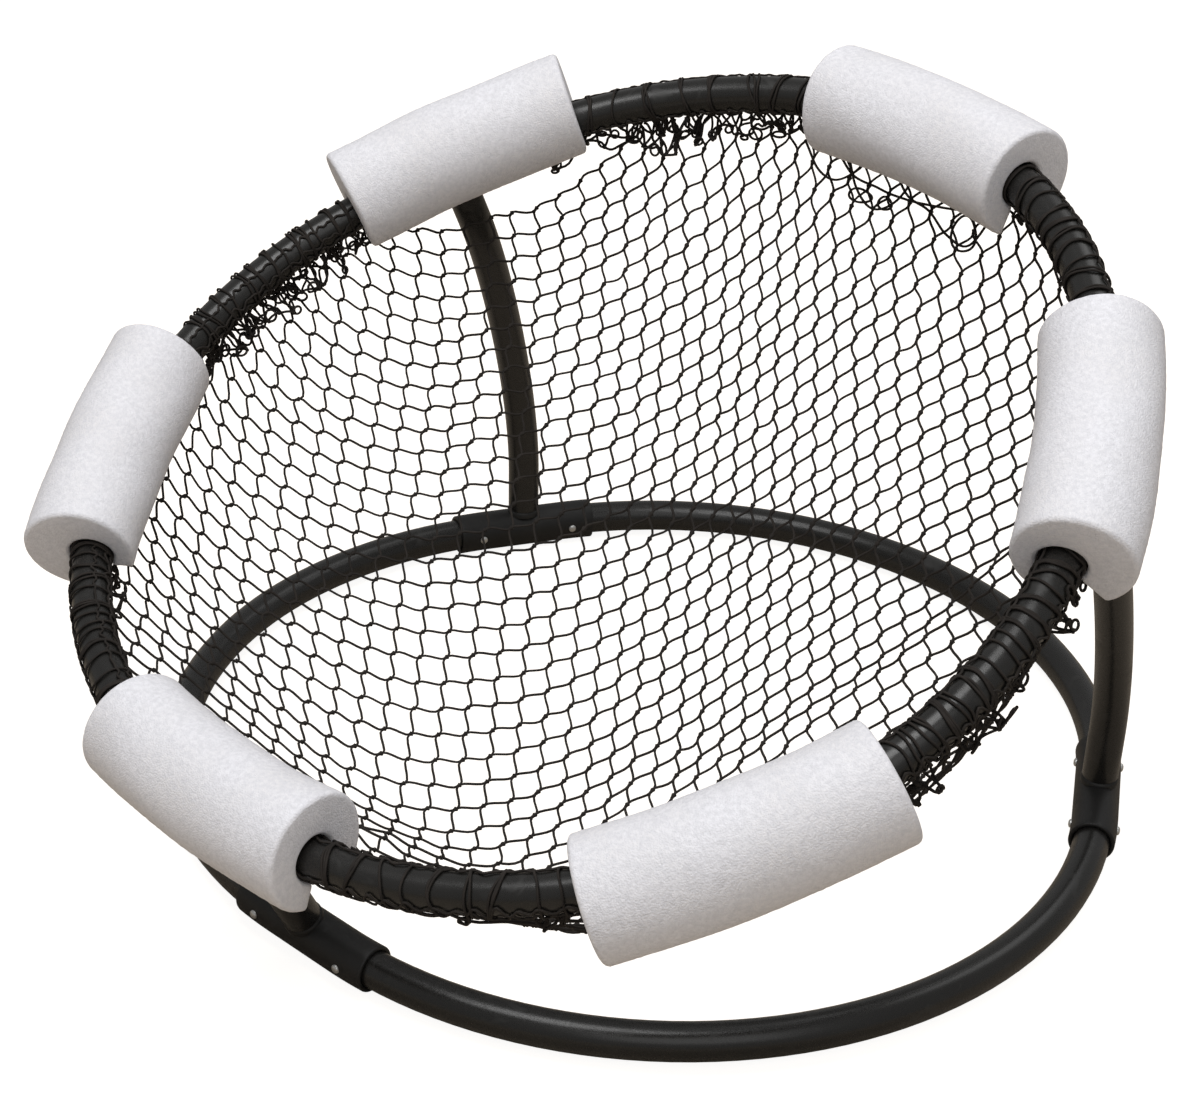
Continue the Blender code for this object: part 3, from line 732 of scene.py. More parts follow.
# Its bore and slit, also over a tee, its roundings, and where the wide bore ends
BORE, TEE_BORE = 0.0200, 0.0252
SLIT_INNER, LEG_SLIT_INNER, SLIT_OUTER = 0.012, 0.024, 0.0305
SLIT_OPENING = 0.3
END_ROUND, LIP_ROUND = 0.0045, 0.0032
OUTER_TRIM, INNER_TRIM = 0.07, 0.16
WIDE_MARGIN, WIDE_BLEND = 0.001, 0.010
# Points along and round it, and steps of its roundings
FOAM_STEPS, OUTER_COUNT, INNER_COUNT = 76, 64, 40
END_POINTS, LIP_STEPS, LIP_SHARE = 7, 7, 0.3
HALVINGS = 40
NEAREST_EDGE = 0.98
# Its dents: their depth and number, where they fade in, and the ranges of their waves
DENT_DEPTH, DENT_WAVES, FINE_DENT = 0.00075, 7, 0.00011
DENT_FROM, DENT_BLEND = 0.84, 0.006
DENT_TURNS, DENT_PITCH, DENT_HEIGHT, DENT_EVEN = (1, 5), (12.0, 60.0), (0.4, 1.0), 3.0


@dataclass
class Foam:
    """One slit foam sleeve on the rim, bent less than the rim, lofted as a soft closed form."""

    name: str
    middle: float
    over_tee: bool
    seed: int

    def __post_init__(self) -> None:
        """Finds the point that the sleeve's own axis bends about, and the axis' radius about it."""
        self.start = self.middle + FOAM_SEATS[self.name][0]
        self.radius = ARC_RADIUS / FOAM_BEND
        centre, outward = stations(np.array([self.start]))
        self.seated = centre[0]
        self.pivot = centre[0] + (FOAM_SEATS[self.name][1] - self.radius) * outward[0]

    def distance_at(self, offset: float) -> float:
        """Finds where along the rim a point of the sleeve's axis lies, given from its middle."""
        way = 1.0 if offset >= 0.0 else -1.0
        middle = (self.seated - self.pivot)[:2]
        near, far = 0.0, 2.0 * abs(offset) + 0.001
        for _ in range(HALVINGS):
            trial = (near + far) / 2.0
            point, _ = stations(np.array([self.start + way * trial]))
            away = (point[0] - self.pivot)[:2]
            turned = abs(math.atan2(middle[0] * away[1] - middle[1] * away[0], middle @ away))
            near, far = (trial, far) if turned * self.radius < abs(offset) else (near, trial)
        return self.start + way * near

    def sections(self) -> tuple[Array, Array]:
        """Distances along the rim, and how far the section draws in at each."""
        start, end = self.distance_at(-FOAM_LENGTH / 2.0), self.distance_at(FOAM_LENGTH / 2.0)
        angles = np.linspace(0.0, math.pi / 2, END_POINTS)
        shrinks = END_ROUND * (1 - np.sin(angles))
        drawn = END_ROUND * (1 - np.cos(angles))
        run = np.linspace(start + END_ROUND, end - END_ROUND, FOAM_STEPS)[1:-1]
        distances = np.concatenate([start + drawn, run, end - drawn[::-1]])
        return distances, np.concatenate([shrinks, np.zeros(len(run)), shrinks[::-1]])

    def model(self) -> Item:
        """Lofts the sleeve."""
        distances, shrinks = self.sections()
        centres, outwards = stations(distances)
        away = centres - self.pivot
        reach = norm(away, axis=1)
        across = away / reach[:, None]
        leans = 1.0 / (across * outwards).sum(1)
        middles = np.array([(self.radius - length, FOAM_SEATS[self.name][2]) for length in reach])
        spreads = np.zeros(len(distances))
        if self.over_tee:
            past = from_tee(distances) - SLEEVE_LENGTH / 2.0 - WIDE_MARGIN
            spreads = 1.0 - smooth_step(past / WIDE_BLEND)
        rows = [foam_outline(*row) for row in zip(shrinks, leans, middles, spreads)]
        rows = self.dent(np.array(rows), middles, distances)
        points = centres[:, None] + rows[..., :1] * across[:, None] + rows[..., 1:] * UP
        count = rows.shape[1]
        faces = [(a, d, c, b) for a, b, c, d in ring_faces(len(rows), count)]
        faces += [face[::-1] for face in end_faces(0, count)]
        faces += end_faces((len(rows) - 1) * count, count)
        sleeve = from_points(f"foam_sleeve_{self.name}_skin", rim_to_world(points.reshape(-1, 3)), faces)
        pick(sleeve)
        bpy.ops.object.mode_set(mode="EDIT")
        end_editing()
        return sleeve

    def dent(self, rows: Array, middles: Array, distances: Array) -> Array:
        """Gives the outside slow dents and a fine uneven skin, always inwards."""
        random = np.random.default_rng(SEED + self.seed)
        spokes = rows - middles[:, None]
        angle = np.arctan2(spokes[..., 1], spokes[..., 0])
        radius = norm(spokes, axis=-1)
        along = (distances - distances[0])[:, None]
        wave = np.zeros_like(radius)
        for _ in range(DENT_WAVES):
            turns = random.integers(*DENT_TURNS)
            pitch = random.uniform(*DENT_PITCH)
            depth = random.uniform(*DENT_HEIGHT)
            wave += depth * ripple(turns * angle + pitch * along, random)
        fine = random.normal(0.0, FINE_DENT, radius.shape)
        outer = smooth_step((radius - FOAM_RADIUS * DENT_FROM) / DENT_BLEND)
        push = np.minimum(outer * (DENT_DEPTH * (wave / DENT_EVEN - 1.0) + fine), 0.0)
        return middles[:, None] + spokes * (1.0 + push / radius)[..., None]


def foam_outline(shrink: float, lean: float, middle: Array, spread: float) -> Array:
    """Draws a sleeve's horseshoe section, slit down, as outward and up from the tube's centreline.

    It draws in by shrink. The bore is wider by lean where the axes lean apart, and by spread over a tee.
    """
    outer = FOAM_SKIN - shrink
    inner = BORE + (TEE_BORE - BORE) * spread + shrink
    reach = SLIT_OUTER + SLIT_OPENING * shrink
    slit = SLIT_INNER + (LEG_SLIT_INNER - SLIT_INNER) * spread + shrink
    outer_start = -math.acos(min((reach - middle[0]) / outer, NEAREST_EDGE))
    outer_end = math.pi + math.acos(min((reach + middle[0]) / outer, NEAREST_EDGE))
    inner_start = -math.acos(min(slit / inner, 1.0))

    def outside_at(angles: Array) -> Array:
        return middle + outer * compass(angles)[..., :2]

    def inside_at(angles: Array) -> Array:
        return inner * compass(angles)[..., :2] * np.array([lean, 1.0])

    outside = outside_at(np.linspace(outer_start + OUTER_TRIM, outer_end - OUTER_TRIM, OUTER_COUNT))
    inside = inside_at(np.linspace(math.pi - inner_start - INNER_TRIM, inner_start + INNER_TRIM, INNER_COUNT))
    right = (inside_at(np.array(inner_start)), outside_at(np.array(outer_start)))
    left = (inside_at(np.array(math.pi - inner_start)), outside_at(np.array(outer_end)))
    right_lip = rounded_lip(inside[-1], *right, outside[0])
    left_lip = rounded_lip(inside[0], *left, outside[-1])[::-1]
    return np.concatenate([outside, left_lip, inside, right_lip])


def rounded_lip(before: Array, first: Array, second: Array, after: Array) -> Array:
    """Joins the bore to the outside across one lip of the slit, with both corners rounded."""
    run = second - first
    length = norm(run)
    step = min(LIP_ROUND, length * LIP_SHARE) / length
    curve = []
    for start, corner, end in ((before, first, first + run * step), (second - run * step, second, after)):
        for t in (0.25, 0.5, 0.75):
            curve.append((1 - t) ** 2 * start + 2 * t * (1 - t) * corner + t * t * end)
        if corner is first:
            curve += [first + run * share for share in np.linspace(step, 1 - step, LIP_STEPS)]
    return np.array(curve)


def end_faces(start: int, count: int) -> list[tuple[int, ...]]:
    """Closes a flat end of a sleeve, whose first point is given, with strips from its outside to its bore."""
    lip = (count - OUTER_COUNT - INNER_COUNT) // 2
    cuts = np.cumsum([0, OUTER_COUNT, lip, INNER_COUNT, lip]) + start
    outside, left, inside, right = (list(range(a, b)) for a, b in zip(cuts, cuts[1:]))
    faces = []
    near = INNER_COUNT - 1
    for i in range(OUTER_COUNT - 1):
        onward = INNER_COUNT - 1 - round((i + 1) * (INNER_COUNT - 1) / (OUTER_COUNT - 1))
        strip = (outside[i], outside[i + 1], inside[onward], inside[near])
        faces.append(strip if onward < near else strip[:3])
        near = onward
    return [*faces, (outside[-1], *left, inside[0]), (inside[-1], *right, outside[0])]


def build_foam() -> None:
    """Builds the six sleeves: those over a tee stay on the frame, the others slide round the rim."""
    for tee, tee_name in EVERY_TEE:
        for order, name in enumerate((tee_name, TUBES[tee])):
            foam = Foam(name, tee * THIRD + order * THIRD / 2, order == 0, 2 * tee + order)
            sleeve = foam.model()
            smooth(sleeve, FOAM_SMOOTH)
            node = f"foam_sleeve_{name}"
            hand_in(sleeve, "foam", node, FRAME_BODY if foam.over_tee else node)


# Twines run in two families, 0 for the level ones and 1 for the upright ones
# A twine's width, and the mesh sides: what each family gains near the pocket, and what is lost far left
TWINE = 0.0025
SIDE_TWINE = 0.0284
MESH_SIZE = 0.0262
TAUT_GAINS = (0.0, 0.0046)
TAUT_REACH = 0.26
SLACK_SHARE = 0.13
SLACK_FROM = -0.16
# Headings of both families in the rim's plane
UPRIGHT_HEADING = math.radians(126.5)
UPRIGHT_BEND = math.radians(24.0)
UPRIGHT_LEAST = math.radians(119.5)
LEVEL_HEADING = math.radians(25.0)
LEVEL_SWING = math.radians(44.0)
SWING_MIDDLE, SWING_REACH = 0.070, 0.265
# The bowl: its pocket, how it hangs, where it is taut, its edge under the rim, and its grid
POCKET = np.array([-0.0154, -0.22285, 0.034])
DROP, STEEPNESS, FLATNESS = 0.140, 0.34, 0.42
TAUT_SPAN, TAUT_BLEND, TAUT_LEAST = 0.27, 0.22, 0.35
LEG_DETOUR, DETOUR_HALF, DETOUR_BLEND = 0.021, 0.018, 0.040
EDGE_BELOW, TEE_EDGE_BELOW, TEE_MARGIN = 0.0196, SLEEVE_RADIUS + 0.0024, 0.004
BOWL_COLUMNS, BOWL_ROWS, ROW_POWER = 720, 61, 0.9
FLANGE, FLANGE_ROWS = 0.076, 4
# The drape: its first knot in the rim's frame, its reach, and which knots are in the net, tied or too near
FIRST_KNOT = (-0.045, 0.02, -0.10)
KNOTS_EACH_WAY = 27
EDGE_SHARE, TIE_SHARE, LEAST_GAP = 0.45, -0.35, 0.5
MARCH_ROUNDS, CORNER_ROUNDS, CORNER_GAIN = 3, 8, 0.6
# How the mesh sides are evened out: the most and least of their length, and the size and number of steps
LONGEST, SHORTEST = 1.03, 0.78
SHORT_PUSH, STEP_GAIN = 0.6, 1.6
RELAX_ROUNDS, SNAP_EVERY = 80, 4
# Knots: half their length, their slant and sizes, how a squeezed mesh lengthens them, and their form
KNOT_HALF, KNOT_LEAN, KNOT_EXTRA = 0.0033, 1.3, 0.0009
KNOT_THICKNESS = 0.95
KNOT_SIZES = (0.75, 1.2)
TIED_SQUEEZE, FREE_SQUEEZE = 0.1, 0.6
SQUEEZE_START, SQUEEZE_GAIN = 0.55, 0.75
BEAD_ROWS, BEAD_SPOKES = 5, 6
BEAD_RIPPLE, BEAD_LOBES, BEAD_FLATNESS = 0.22, 5.0, 0.88
# Steps of a mesh side, and the share of half a knot that it loses at each end
SIDE_STEPS = 5
SIDE_TAKEN = 0.7
# A mesh side's pull along its knots, sideways bend and lift: each at its least, and its gain where slack
PULL, BEND, LIFT = (0.62, 0.9), (0.00065, 0.004), (0.0006, 0.003)

# Loose loops on the bowl below the back sleeve: distance along the rim, share of the way up, and half sizes
LOOPS = (
    (1.340, 0.862, 0.0155, 0.0160),
    (1.444, 0.852, 0.0078, 0.0060),
    (1.474, 0.853, 0.0130, 0.0062),
)
# Loose strands there, as distances and shares
STRANDS = (
    (
        (1.515, 0.935), (1.490, 0.884), (1.458, 0.872), (1.436, 0.868),
        (1.402, 0.872), (1.355, 0.892), (1.318, 0.930),
    ),
    ((1.500, 0.935), (1.484, 0.868), (1.458, 0.838), (1.432, 0.862), (1.412, 0.935)),
    ((1.452, 0.935), (1.424, 0.878), (1.392, 0.866), (1.362, 0.845), (1.330, 0.850), (1.312, 0.925)),
    ((1.546, 0.935), (1.530, 0.885), (1.508, 0.868), (1.486, 0.890), (1.470, 0.935)),
)
# Their lift off the bowl, the loops' form, and the steps of strands and of the search for directions
LOOSE_LIFT = 0.0026
LOOP_OVERRUN = 1.06
LOOP_POINTS = 36
LOOP_RIPPLE, LOOP_SKEW, LOOP_SKEW_AT = 0.06, 0.14, 0.8
STRAND_STEPS = 8
SPOT_STEP, SPOT_SHARE = 0.002, 0.004


def make_twines(name: str, thickness: float, lines: list[Array]) -> Item:
    """Makes one mesh of many round twines."""
    curve = bpy.data.curves.new(name, "CURVE")
    curve.dimensions = "3D"
    curve.bevel_depth = thickness / 2.0
    curve.bevel_resolution = 1
    curve.use_fill_caps = True
    for points in lines:
        spline = curve.splines.new("POLY")
        spline.points.add(len(points) - 1)
        spline.points.foreach_set("co", np.concatenate([points, np.ones((len(points), 1))], axis=1).ravel())
    pick(add_object(name, curve))
    bpy.ops.object.convert(target="MESH")
    bpy.ops.object.shade_smooth()
    return bpy.context.object


def make_beads(name: str, places: Array, halves: Array, normals: Array, thickness: float) -> Item:
    """Copies one lumpy bead to every place, long by its half axis and a little flat along its normal."""
    deselect()
    bpy.ops.mesh.primitive_uv_sphere_add(
        segments=BEAD_SPOKES, ring_count=BEAD_ROWS, radius=1.0, location=(0.0, 0.0, 0.0)
    )
    pattern = bpy.context.object
    shape = np.array([vertex.co for vertex in pattern.data.vertices])
    shape[:, :2] *= 1.0 + BEAD_RIPPLE * np.sin(BEAD_LOBES * shape[:, 2:3])
    faces = [tuple(face.vertices) for face in pattern.data.polygons]
    bpy.data.objects.remove(pattern)
    long_axis = unit(halves)
    flat = unit(normals - (normals * long_axis).sum(1, keepdims=True) * long_axis)
    across = np.cross(flat, long_axis) * thickness
    flat = flat * thickness * BEAD_FLATNESS
    axes = np.stack([across, flat, halves], axis=1)
    points = (shape @ axes).reshape(-1, 3)
    copies = [tuple(i * len(shape) + corner for corner in face) for i in range(len(places)) for face in faces]
    return from_points(name, points + np.repeat(places, len(shape), axis=0), copies)


def edge_at(distances: Array) -> Array:
    """Points of the net's edge under the rim, which turns inwards round each leg."""
    centres, outwards = stations(distances)
    near_tee = from_tee(distances)
    inward = LEG_DETOUR * (1 - smooth_step((near_tee - DETOUR_HALF) / DETOUR_BLEND))
    past = smooth_step((near_tee - SLEEVE_LENGTH / 2 - TEE_MARGIN) / DETOUR_BLEND)
    below = TEE_EDGE_BELOW + (EDGE_BELOW - TEE_EDGE_BELOW) * past
    return rim_to_world(centres - inward[:, None] * outwards - below[:, None] * UP)


def hang(edge: Array, shares: Array) -> Array:
    """Hangs curves from the edge to the pocket, one row for each share from pocket (0) to edge (1)."""
    span = edge - POCKET
    length = norm(span, axis=-1)
    loose = smooth_step((length - TAUT_SPAN) / TAUT_BLEND)
    steep = edge - (np.minimum(DROP, STEEPNESS * length) * loose)[:, None] * np.array(RIM_NORMAL)
    level = FLATNESS * (TAUT_LEAST + (1 - TAUT_LEAST) * loose)
    flat = POCKET + level[:, None] * span * np.array([1.0, 1.0, 0.0])
    guides = (edge, steep, flat, POCKET)
    return sum(share * guide for share, guide in zip(cubic_shares((1 - shares)[:, None, None]), guides))


def make_bowl() -> tuple[Array, BVHTree]:
    """Makes the bowl that the net is draped on, with a flange on its edge, as edge points and search tree."""
    columns = np.linspace(0.0, 3.0 * THIRD, BOWL_COLUMNS + 1)[:-1]
    points = hang(edge_at(columns), np.linspace(0.0, 1.0, BOWL_ROWS) ** ROW_POWER)
    edge = points[-1]
    rises = FLANGE * np.arange(1, FLANGE_ROWS + 1) / FLANGE_ROWS
    points = np.concatenate([points, edge + rises[:, None, None] * np.array(RIM_NORMAL)])
    corners = [Vector(point) for point in points.reshape(-1, 3)]
    return edge, BVHTree.FromPolygons(corners, ring_faces(*points.shape[:2]))


def side_length(place: Array, family: int) -> Array:
    """Distance between neighbouring knots: longer where the pocket pulls a twine taut, shorter far left."""
    away = norm(place - POCKET, axis=-1)
    length = MESH_SIZE + TAUT_GAINS[family] * np.exp(-((away / TAUT_REACH) ** 2))
    if family == 0:
        return length
    return length * (1 - SLACK_SHARE * smooth_step((SLACK_FROM - place[..., 0]) / -SLACK_FROM))


def heading_at(place: Array, family: int) -> float:
    """Direction of one family of twines in the rim's plane.

    The upright twines bend a little. The level ones swing from low at both sides of the bowl to steep
    a little right of its middle.
    """
    flat = (RIM_BACK[:3, :3] @ place + RIM_BACK[:3, 3])[:2]
    ahead = np.array([math.cos(UPRIGHT_HEADING), math.sin(UPRIGHT_HEADING)])
    if family == 1:
        return max(UPRIGHT_HEADING - UPRIGHT_BEND * float(flat @ ahead), UPRIGHT_LEAST)
    swing = (flat @ np.array([ahead[1], -ahead[0]]) - SWING_MIDDLE) / SWING_REACH
    return LEVEL_HEADING + LEVEL_SWING * math.exp(-(swing**2))


def march(tree: BVHTree, place: Array, family: int, way: int) -> Array:
    """Goes one mesh side over the bowl along a family of twines, onward (1) or backward (-1)."""
    heading = heading_at(place, family)
    normal = RIM_AXES[:, 2]
    flat = RIM_AXES @ np.array([math.cos(heading), math.sin(heading), 0.0])
    facing = np.array(tree.find_nearest(Vector(place))[1])
    level = facing @ normal
    tangent = flat - (flat @ facing) / (level if abs(level) > 1e-3 else 1e-3) * normal
    length = float(side_length(place, family))
    goal = place + way * length * tangent / norm(tangent)
    for _ in range(MARCH_ROUNDS):
        found = np.array(tree.find_nearest(Vector(goal))[0])
        run = found - place
        goal = place + run * length / norm(run)
    return found


def corner_from(tree: BVHTree, first: Array, second: Array, across: Array) -> Array:
    """Finds a mesh's fourth knot from its neighbours on its level and upright twine and the one across."""
    goal = first + second - across
    for _ in range(CORNER_ROUNDS):
        found = np.array(tree.find_nearest(Vector(goal))[0])
        goal = found.copy()
        for family, neighbour in enumerate((first, second)):
            run = found - neighbour
            length = max(float(norm(run)), 1e-6)
            goal += CORNER_GAIN * run * (float(side_length(found, family)) / length - 1.0)
    return found


def beyond(edge: Array, place: Array) -> float:
    """How far a point lies past the net's edge, negative within the bowl."""
    away = place - edge
    distances = norm(away, axis=1)
    nearest = int(distances.argmin())
    rise = away[nearest] @ np.array(RIM_NORMAL)
    return float(distances[nearest]) * (1.0 if rise > 0.0 else -1.0)


def drape(edge: Array, tree: BVHTree) -> tuple[Array, Array]:
    """Drapes the grid of knots over the bowl from one twine of each family.

    Gives back the knots' places by grid number, and how far each lies past the edge.
    """
    middle = KNOTS_EACH_WAY
    size = 2 * middle + 1
    places = np.full((size, size, 3), np.nan)
    past = np.full((size, size), np.inf)
    limit = EDGE_SHARE * MESH_SIZE

    def put(here: tuple[int, int], found: Array) -> None:
        places[here] = found
        past[here] = beyond(edge, found)

    put((middle, middle), np.array(tree.find_nearest(RIM_FRAME @ Vector(FIRST_KNOT))[0]))
    for family in (0, 1):
        for way in (1, -1):
            before = (middle, middle)
            for step in range(1, KNOTS_EACH_WAY + 1):
                here = (middle + way * step, middle) if family == 0 else (middle, middle + way * step)
                if past[before] < limit:
                    put(here, march(tree, places[before], family, way))
                before = here
    steps = [(i, j) for i in range(1, KNOTS_EACH_WAY + 1) for j in range(1, KNOTS_EACH_WAY + 1)]
    for way, other in ((1, 1), (1, -1), (-1, 1), (-1, -1)):
        for i, j in steps:
            here = (middle + way * i, middle + other * j)
            beside, below = (here[0] - way, here[1]), (here[0], here[1] - other)
            placed = math.isfinite(past[beside]) and math.isfinite(past[below])
            if not placed or min(past[beside], past[below]) > limit:
                continue
            found = corner_from(tree, places[beside], places[below], places[here[0] - way, here[1] - other])
            if np.nanmin(norm(places - found, axis=-1)) > LEAST_GAP * MESH_SIZE:
                put(here, found)
    return places, past


@dataclass
class Net:
    """The net by grid number: knots' places, the bowl's normals, and which knots are in it or tied."""

    places: Array
    normals: Array
    inside: Array
    fixed: Array


def settle() -> Net:
    """Drapes the net in the bowl and ties its outer knots to the edge."""
    edge, tree = make_bowl()
    places, past = drape(edge, tree)
    inside = past < EDGE_SHARE * MESH_SIZE
    fixed = inside & (past > TIE_SHARE * MESH_SIZE)
    for i, j in zip(*np.nonzero(fixed)):
        places[i, j] = edge[norm(edge - places[i, j], axis=1).argmin()]
    net = Net(np.where(inside[..., None], places, 0.0), np.zeros_like(places), inside, fixed)
    relax(net, tree)
    return net


def relax(net: Net, tree: BVHTree) -> None:
    """Evens out the mesh sides on the bowl, which may be slack but hardly stretched."""
    number = -np.ones(net.inside.shape, int)
    number[net.inside] = np.arange(net.inside.sum())
    knots, held = net.places[net.inside], net.fixed[net.inside]
    pairs, evens = [], []
    for family, (first, second) in enumerate(((number[:-1], number[1:]), (number[:, :-1], number[:, 1:]))):
        both = (first >= 0) & (second >= 0)
        pair = np.stack([first[both], second[both]], axis=1)
        pairs.append(pair)
        evens.append(side_length((knots[pair[:, 0]] + knots[pair[:, 1]]) / 2.0, family))
    sides, even = np.concatenate(pairs), np.concatenate(evens)
    weight = np.where(held, 0.0, 1.0)
    total = weight[sides[:, 0]] + weight[sides[:, 1]]
    free = total > 0
    (start, end), even, total = sides[free].T, even[free], total[free]
    counts = np.bincount(np.concatenate([start, end]), minlength=len(knots))
    normals = np.zeros_like(knots)
    for turn in range(RELAX_ROUNDS):
        run = knots[end] - knots[start]
        length = np.maximum(norm(run, axis=1), 1e-6)
        excess = np.maximum(length - even * LONGEST, 0.0)
        excess += np.minimum(SHORT_PUSH * (length - even * SHORTEST), 0.0)
        push = run * (excess / length / total)[:, None]
        move = np.zeros_like(knots)
        np.add.at(move, start, push * weight[start][:, None])
        np.add.at(move, end, -push * weight[end][:, None])
        knots = knots + move * (STEP_GAIN / np.maximum(counts, 1.0))[:, None]
        if (turn + 1) % SNAP_EVERY:
            continue
        for i, knot in enumerate(knots):
            place, normal, _, _ = tree.find_nearest(Vector(knot))
            normals[i] = normal
            if not held[i]:
                knots[i] = place
    net.places[net.inside] = knots
    net.normals[net.inside] = normals
    run = norm(knots[end] - knots[start], axis=1)
    found = (run.min(), run.max(), np.median(run), len(knots))
    LOG.info("net sides: %.4f to %.4f, middle %.4f, knots %d", *found)


def knot_slants(net: Net) -> Array:
    """Finds half of each knot's long axis, which slants between its two twines."""
    axes = []
    for axis in (0, 1):
        runs = []
        for shift in (-1, 1):
            joined = (np.roll(net.inside, shift, axis=axis) & net.inside)[..., None]
            runs.append(np.where(joined, np.roll(net.places, shift, axis=axis), net.places))
        axes.append(unit(runs[0] - runs[1]))
    slant = unit(KNOT_LEAN * axes[0] + axes[1])
    most = np.where(net.fixed, TIED_SQUEEZE, FREE_SQUEEZE)
    squeezed = np.minimum(np.abs((axes[0] * axes[1]).sum(-1)), most)
    random = np.random.default_rng(SEED)
    sizes = KNOT_HALF * random.uniform(*KNOT_SIZES, net.inside.shape)
    sizes = sizes * (SQUEEZE_START + SQUEEZE_GAIN * squeezed)
    return slant * sizes[..., None]


def mesh_side(knots: Array, slants: Array, normal: Array, random: Random) -> Array:
    """Draws one mesh side between two knots, leaving and arriving along their slants."""
    start, end = knots[0] + slants[0], knots[1] - slants[1]
    chord = end - start
    length = norm(chord)
    slack = max(0.0, 1.0 - length / (SIDE_TWINE - 2 * KNOT_HALF * SIDE_TAKEN))
    pull, bend, lift = (least + gain * slack for least, gain in (PULL, BEND, LIFT))
    head, tail = unit(slants) * min(length, MESH_SIZE) * pull
    t = np.linspace(0.0, 1.0, SIDE_STEPS + 1)[:, None]
    curve = (2 * t**3 - 3 * t**2 + 1) * start + (t**3 - 2 * t**2 + t) * head
    curve += (-2 * t**3 + 3 * t**2) * end + (t**3 - t**2) * tail
    bend = random.normal(0.0, bend)
    lift = abs(random.normal(0.0, lift))
    return curve + np.sin(math.pi * t) * (bend * np.cross(normal, unit(chord)) + lift * normal)


def net_twines(net: Net, slants: Array, axis: int) -> list[Array]:
    """Draws the twines that run one way through the net."""
    grids = [net.places, slants, net.normals, net.inside, net.fixed]
    if axis == 0:
        grids = [grid.swapaxes(0, 1) for grid in grids]
    places, slants, normals, inside, fixed = grids
    random = np.random.default_rng(SEED + NET_DRAW + axis)
    lines = []
    for row in range(len(inside)):
        line: list[Array] = []
        for i in range(len(inside)):
            pair = slice(i, i + 2)
            if i + 1 < len(inside) and inside[row, pair].all() and not fixed[row, pair].all():
                line.append(mesh_side(places[row, pair], slants[row, pair], normals[row, i], random))
            elif line:
                lines.append(np.concatenate(line))
                line = []
    return lines


def spot(distance: float, share: float, along: float = 0.0, down: float = 0.0) -> Array:
    """Finds a point just inside the bowl, a little aside along the rim and towards the pocket."""
    edge = edge_at(np.array([distance, distance + SPOT_STEP]))
    rows = hang(edge, np.array([share, share - SPOT_SHARE]))
    place = rows[0, 0]
    level, steep = unit(rows[0, 1] - place), unit(rows[1, 0] - place)
    return place + along * level + down * steep + LOOSE_LIFT * unit(np.cross(level, steep))


def loose_lines() -> list[Array]:
    """Draws the loose loops and strands that lie on the bowl below the back sleeve."""
    random = np.random.default_rng(SEED + LOOSE_DRAW)
    lines = []
    turn = np.linspace(0.0, LOOP_OVERRUN * FULL_TURN, LOOP_POINTS)
    for distance, share, half_along, half_down in LOOPS:
        wave = 1.0 + LOOP_RIPPLE * ripple(3 * turn, random) + LOOP_SKEW * np.sin(turn + LOOP_SKEW_AT)
        asides = zip(half_along * wave * np.cos(turn), half_down * wave * np.sin(turn))
        lines.append(np.array([spot(distance, share, *aside) for aside in asides]))
    for strand in STRANDS:
        stops = np.array([strand[0], *strand, strand[-1]])
        points = []
        for before, start, end, after in zip(stops, stops[1:], stops[2:], stops[3:]):
            bend = 2 * before - 5 * start + 4 * end - after
            twist = 3 * start - before - 3 * end + after
            for t in np.linspace(0.0, 1.0, STRAND_STEPS, endpoint=False):
                points.append(spot(*(start + 0.5 * ((end - before) * t + bend * t**2 + twist * t**3))))
        lines.append(np.array(points))
    return lines


def build_net() -> None:
    """Builds the hung net: its loose twines, its twines both ways and its knots."""
    hand_in(make_twines("net_loose_twines", TWINE, loose_lines()), "twine", "net")
    net = settle()
    slants = knot_slants(net)
    for axis, name in ((0, "net_twines_across"), (1, "net_twines_down")):
        hand_in(make_twines(name, TWINE, net_twines(net, slants, axis)), "twine", "net")
    halves = slants[net.inside]
    halves = halves + KNOT_EXTRA * unit(halves)
    places, normals = net.places[net.inside], net.normals[net.inside]
    knots = make_beads("net_knots", places, halves, normals, TWINE * KNOT_THICKNESS)
    smooth(knots, BEAD_SMOOTH)
    hand_in(knots, "twine", "net")


@dataclass(frozen=True)
class Hang:
    """How the net is tied to one half of a rim tube.

    Turns lie a certain distance apart on the tube. Two rows of knots hang under it: their spacing,
    their depths, how many are joined or have a loop, and how full the lower row is.
    """

    turns: float
    step: float
    shallow: float
    deep: float
    joined: float
    curled: float
    filled: float


# Both halves of each rim tube
HANGS = (
    (Hang(0.0240, 0.0140, 0.003, 0.016, 0.45, 0.35, 0.3), Hang(0.0135, 0.0110, 0.005, 0.027, 0.85, 0.6, 0.8)),
    (Hang(0.0190, 0.0115, 0.005, 0.026, 0.80, 0.60, 0.7), Hang(0.0330, 0.0128, 0.006, 0.034, 0.90, 0.6, 0.9)),
    (Hang(0.0150, 0.0088, 0.004, 0.028, 0.80, 0.75, 0.8), Hang(0.0150, 0.0100, 0.004, 0.025, 0.75, 0.6, 0.6)),
)
# Where twines lie along each rim tube, as angle and swing
MANY_STAYS = ((-0.30, 0.28), (0.12, 0.20), (math.pi + 0.30, 0.28), (math.pi - 0.15, 0.22), (2.2, 0.10))
STAYS = (MANY_STAYS, ((-0.30, 0.28), (0.58, 0.12), (math.pi + 0.45, 0.20)), MANY_STAYS)
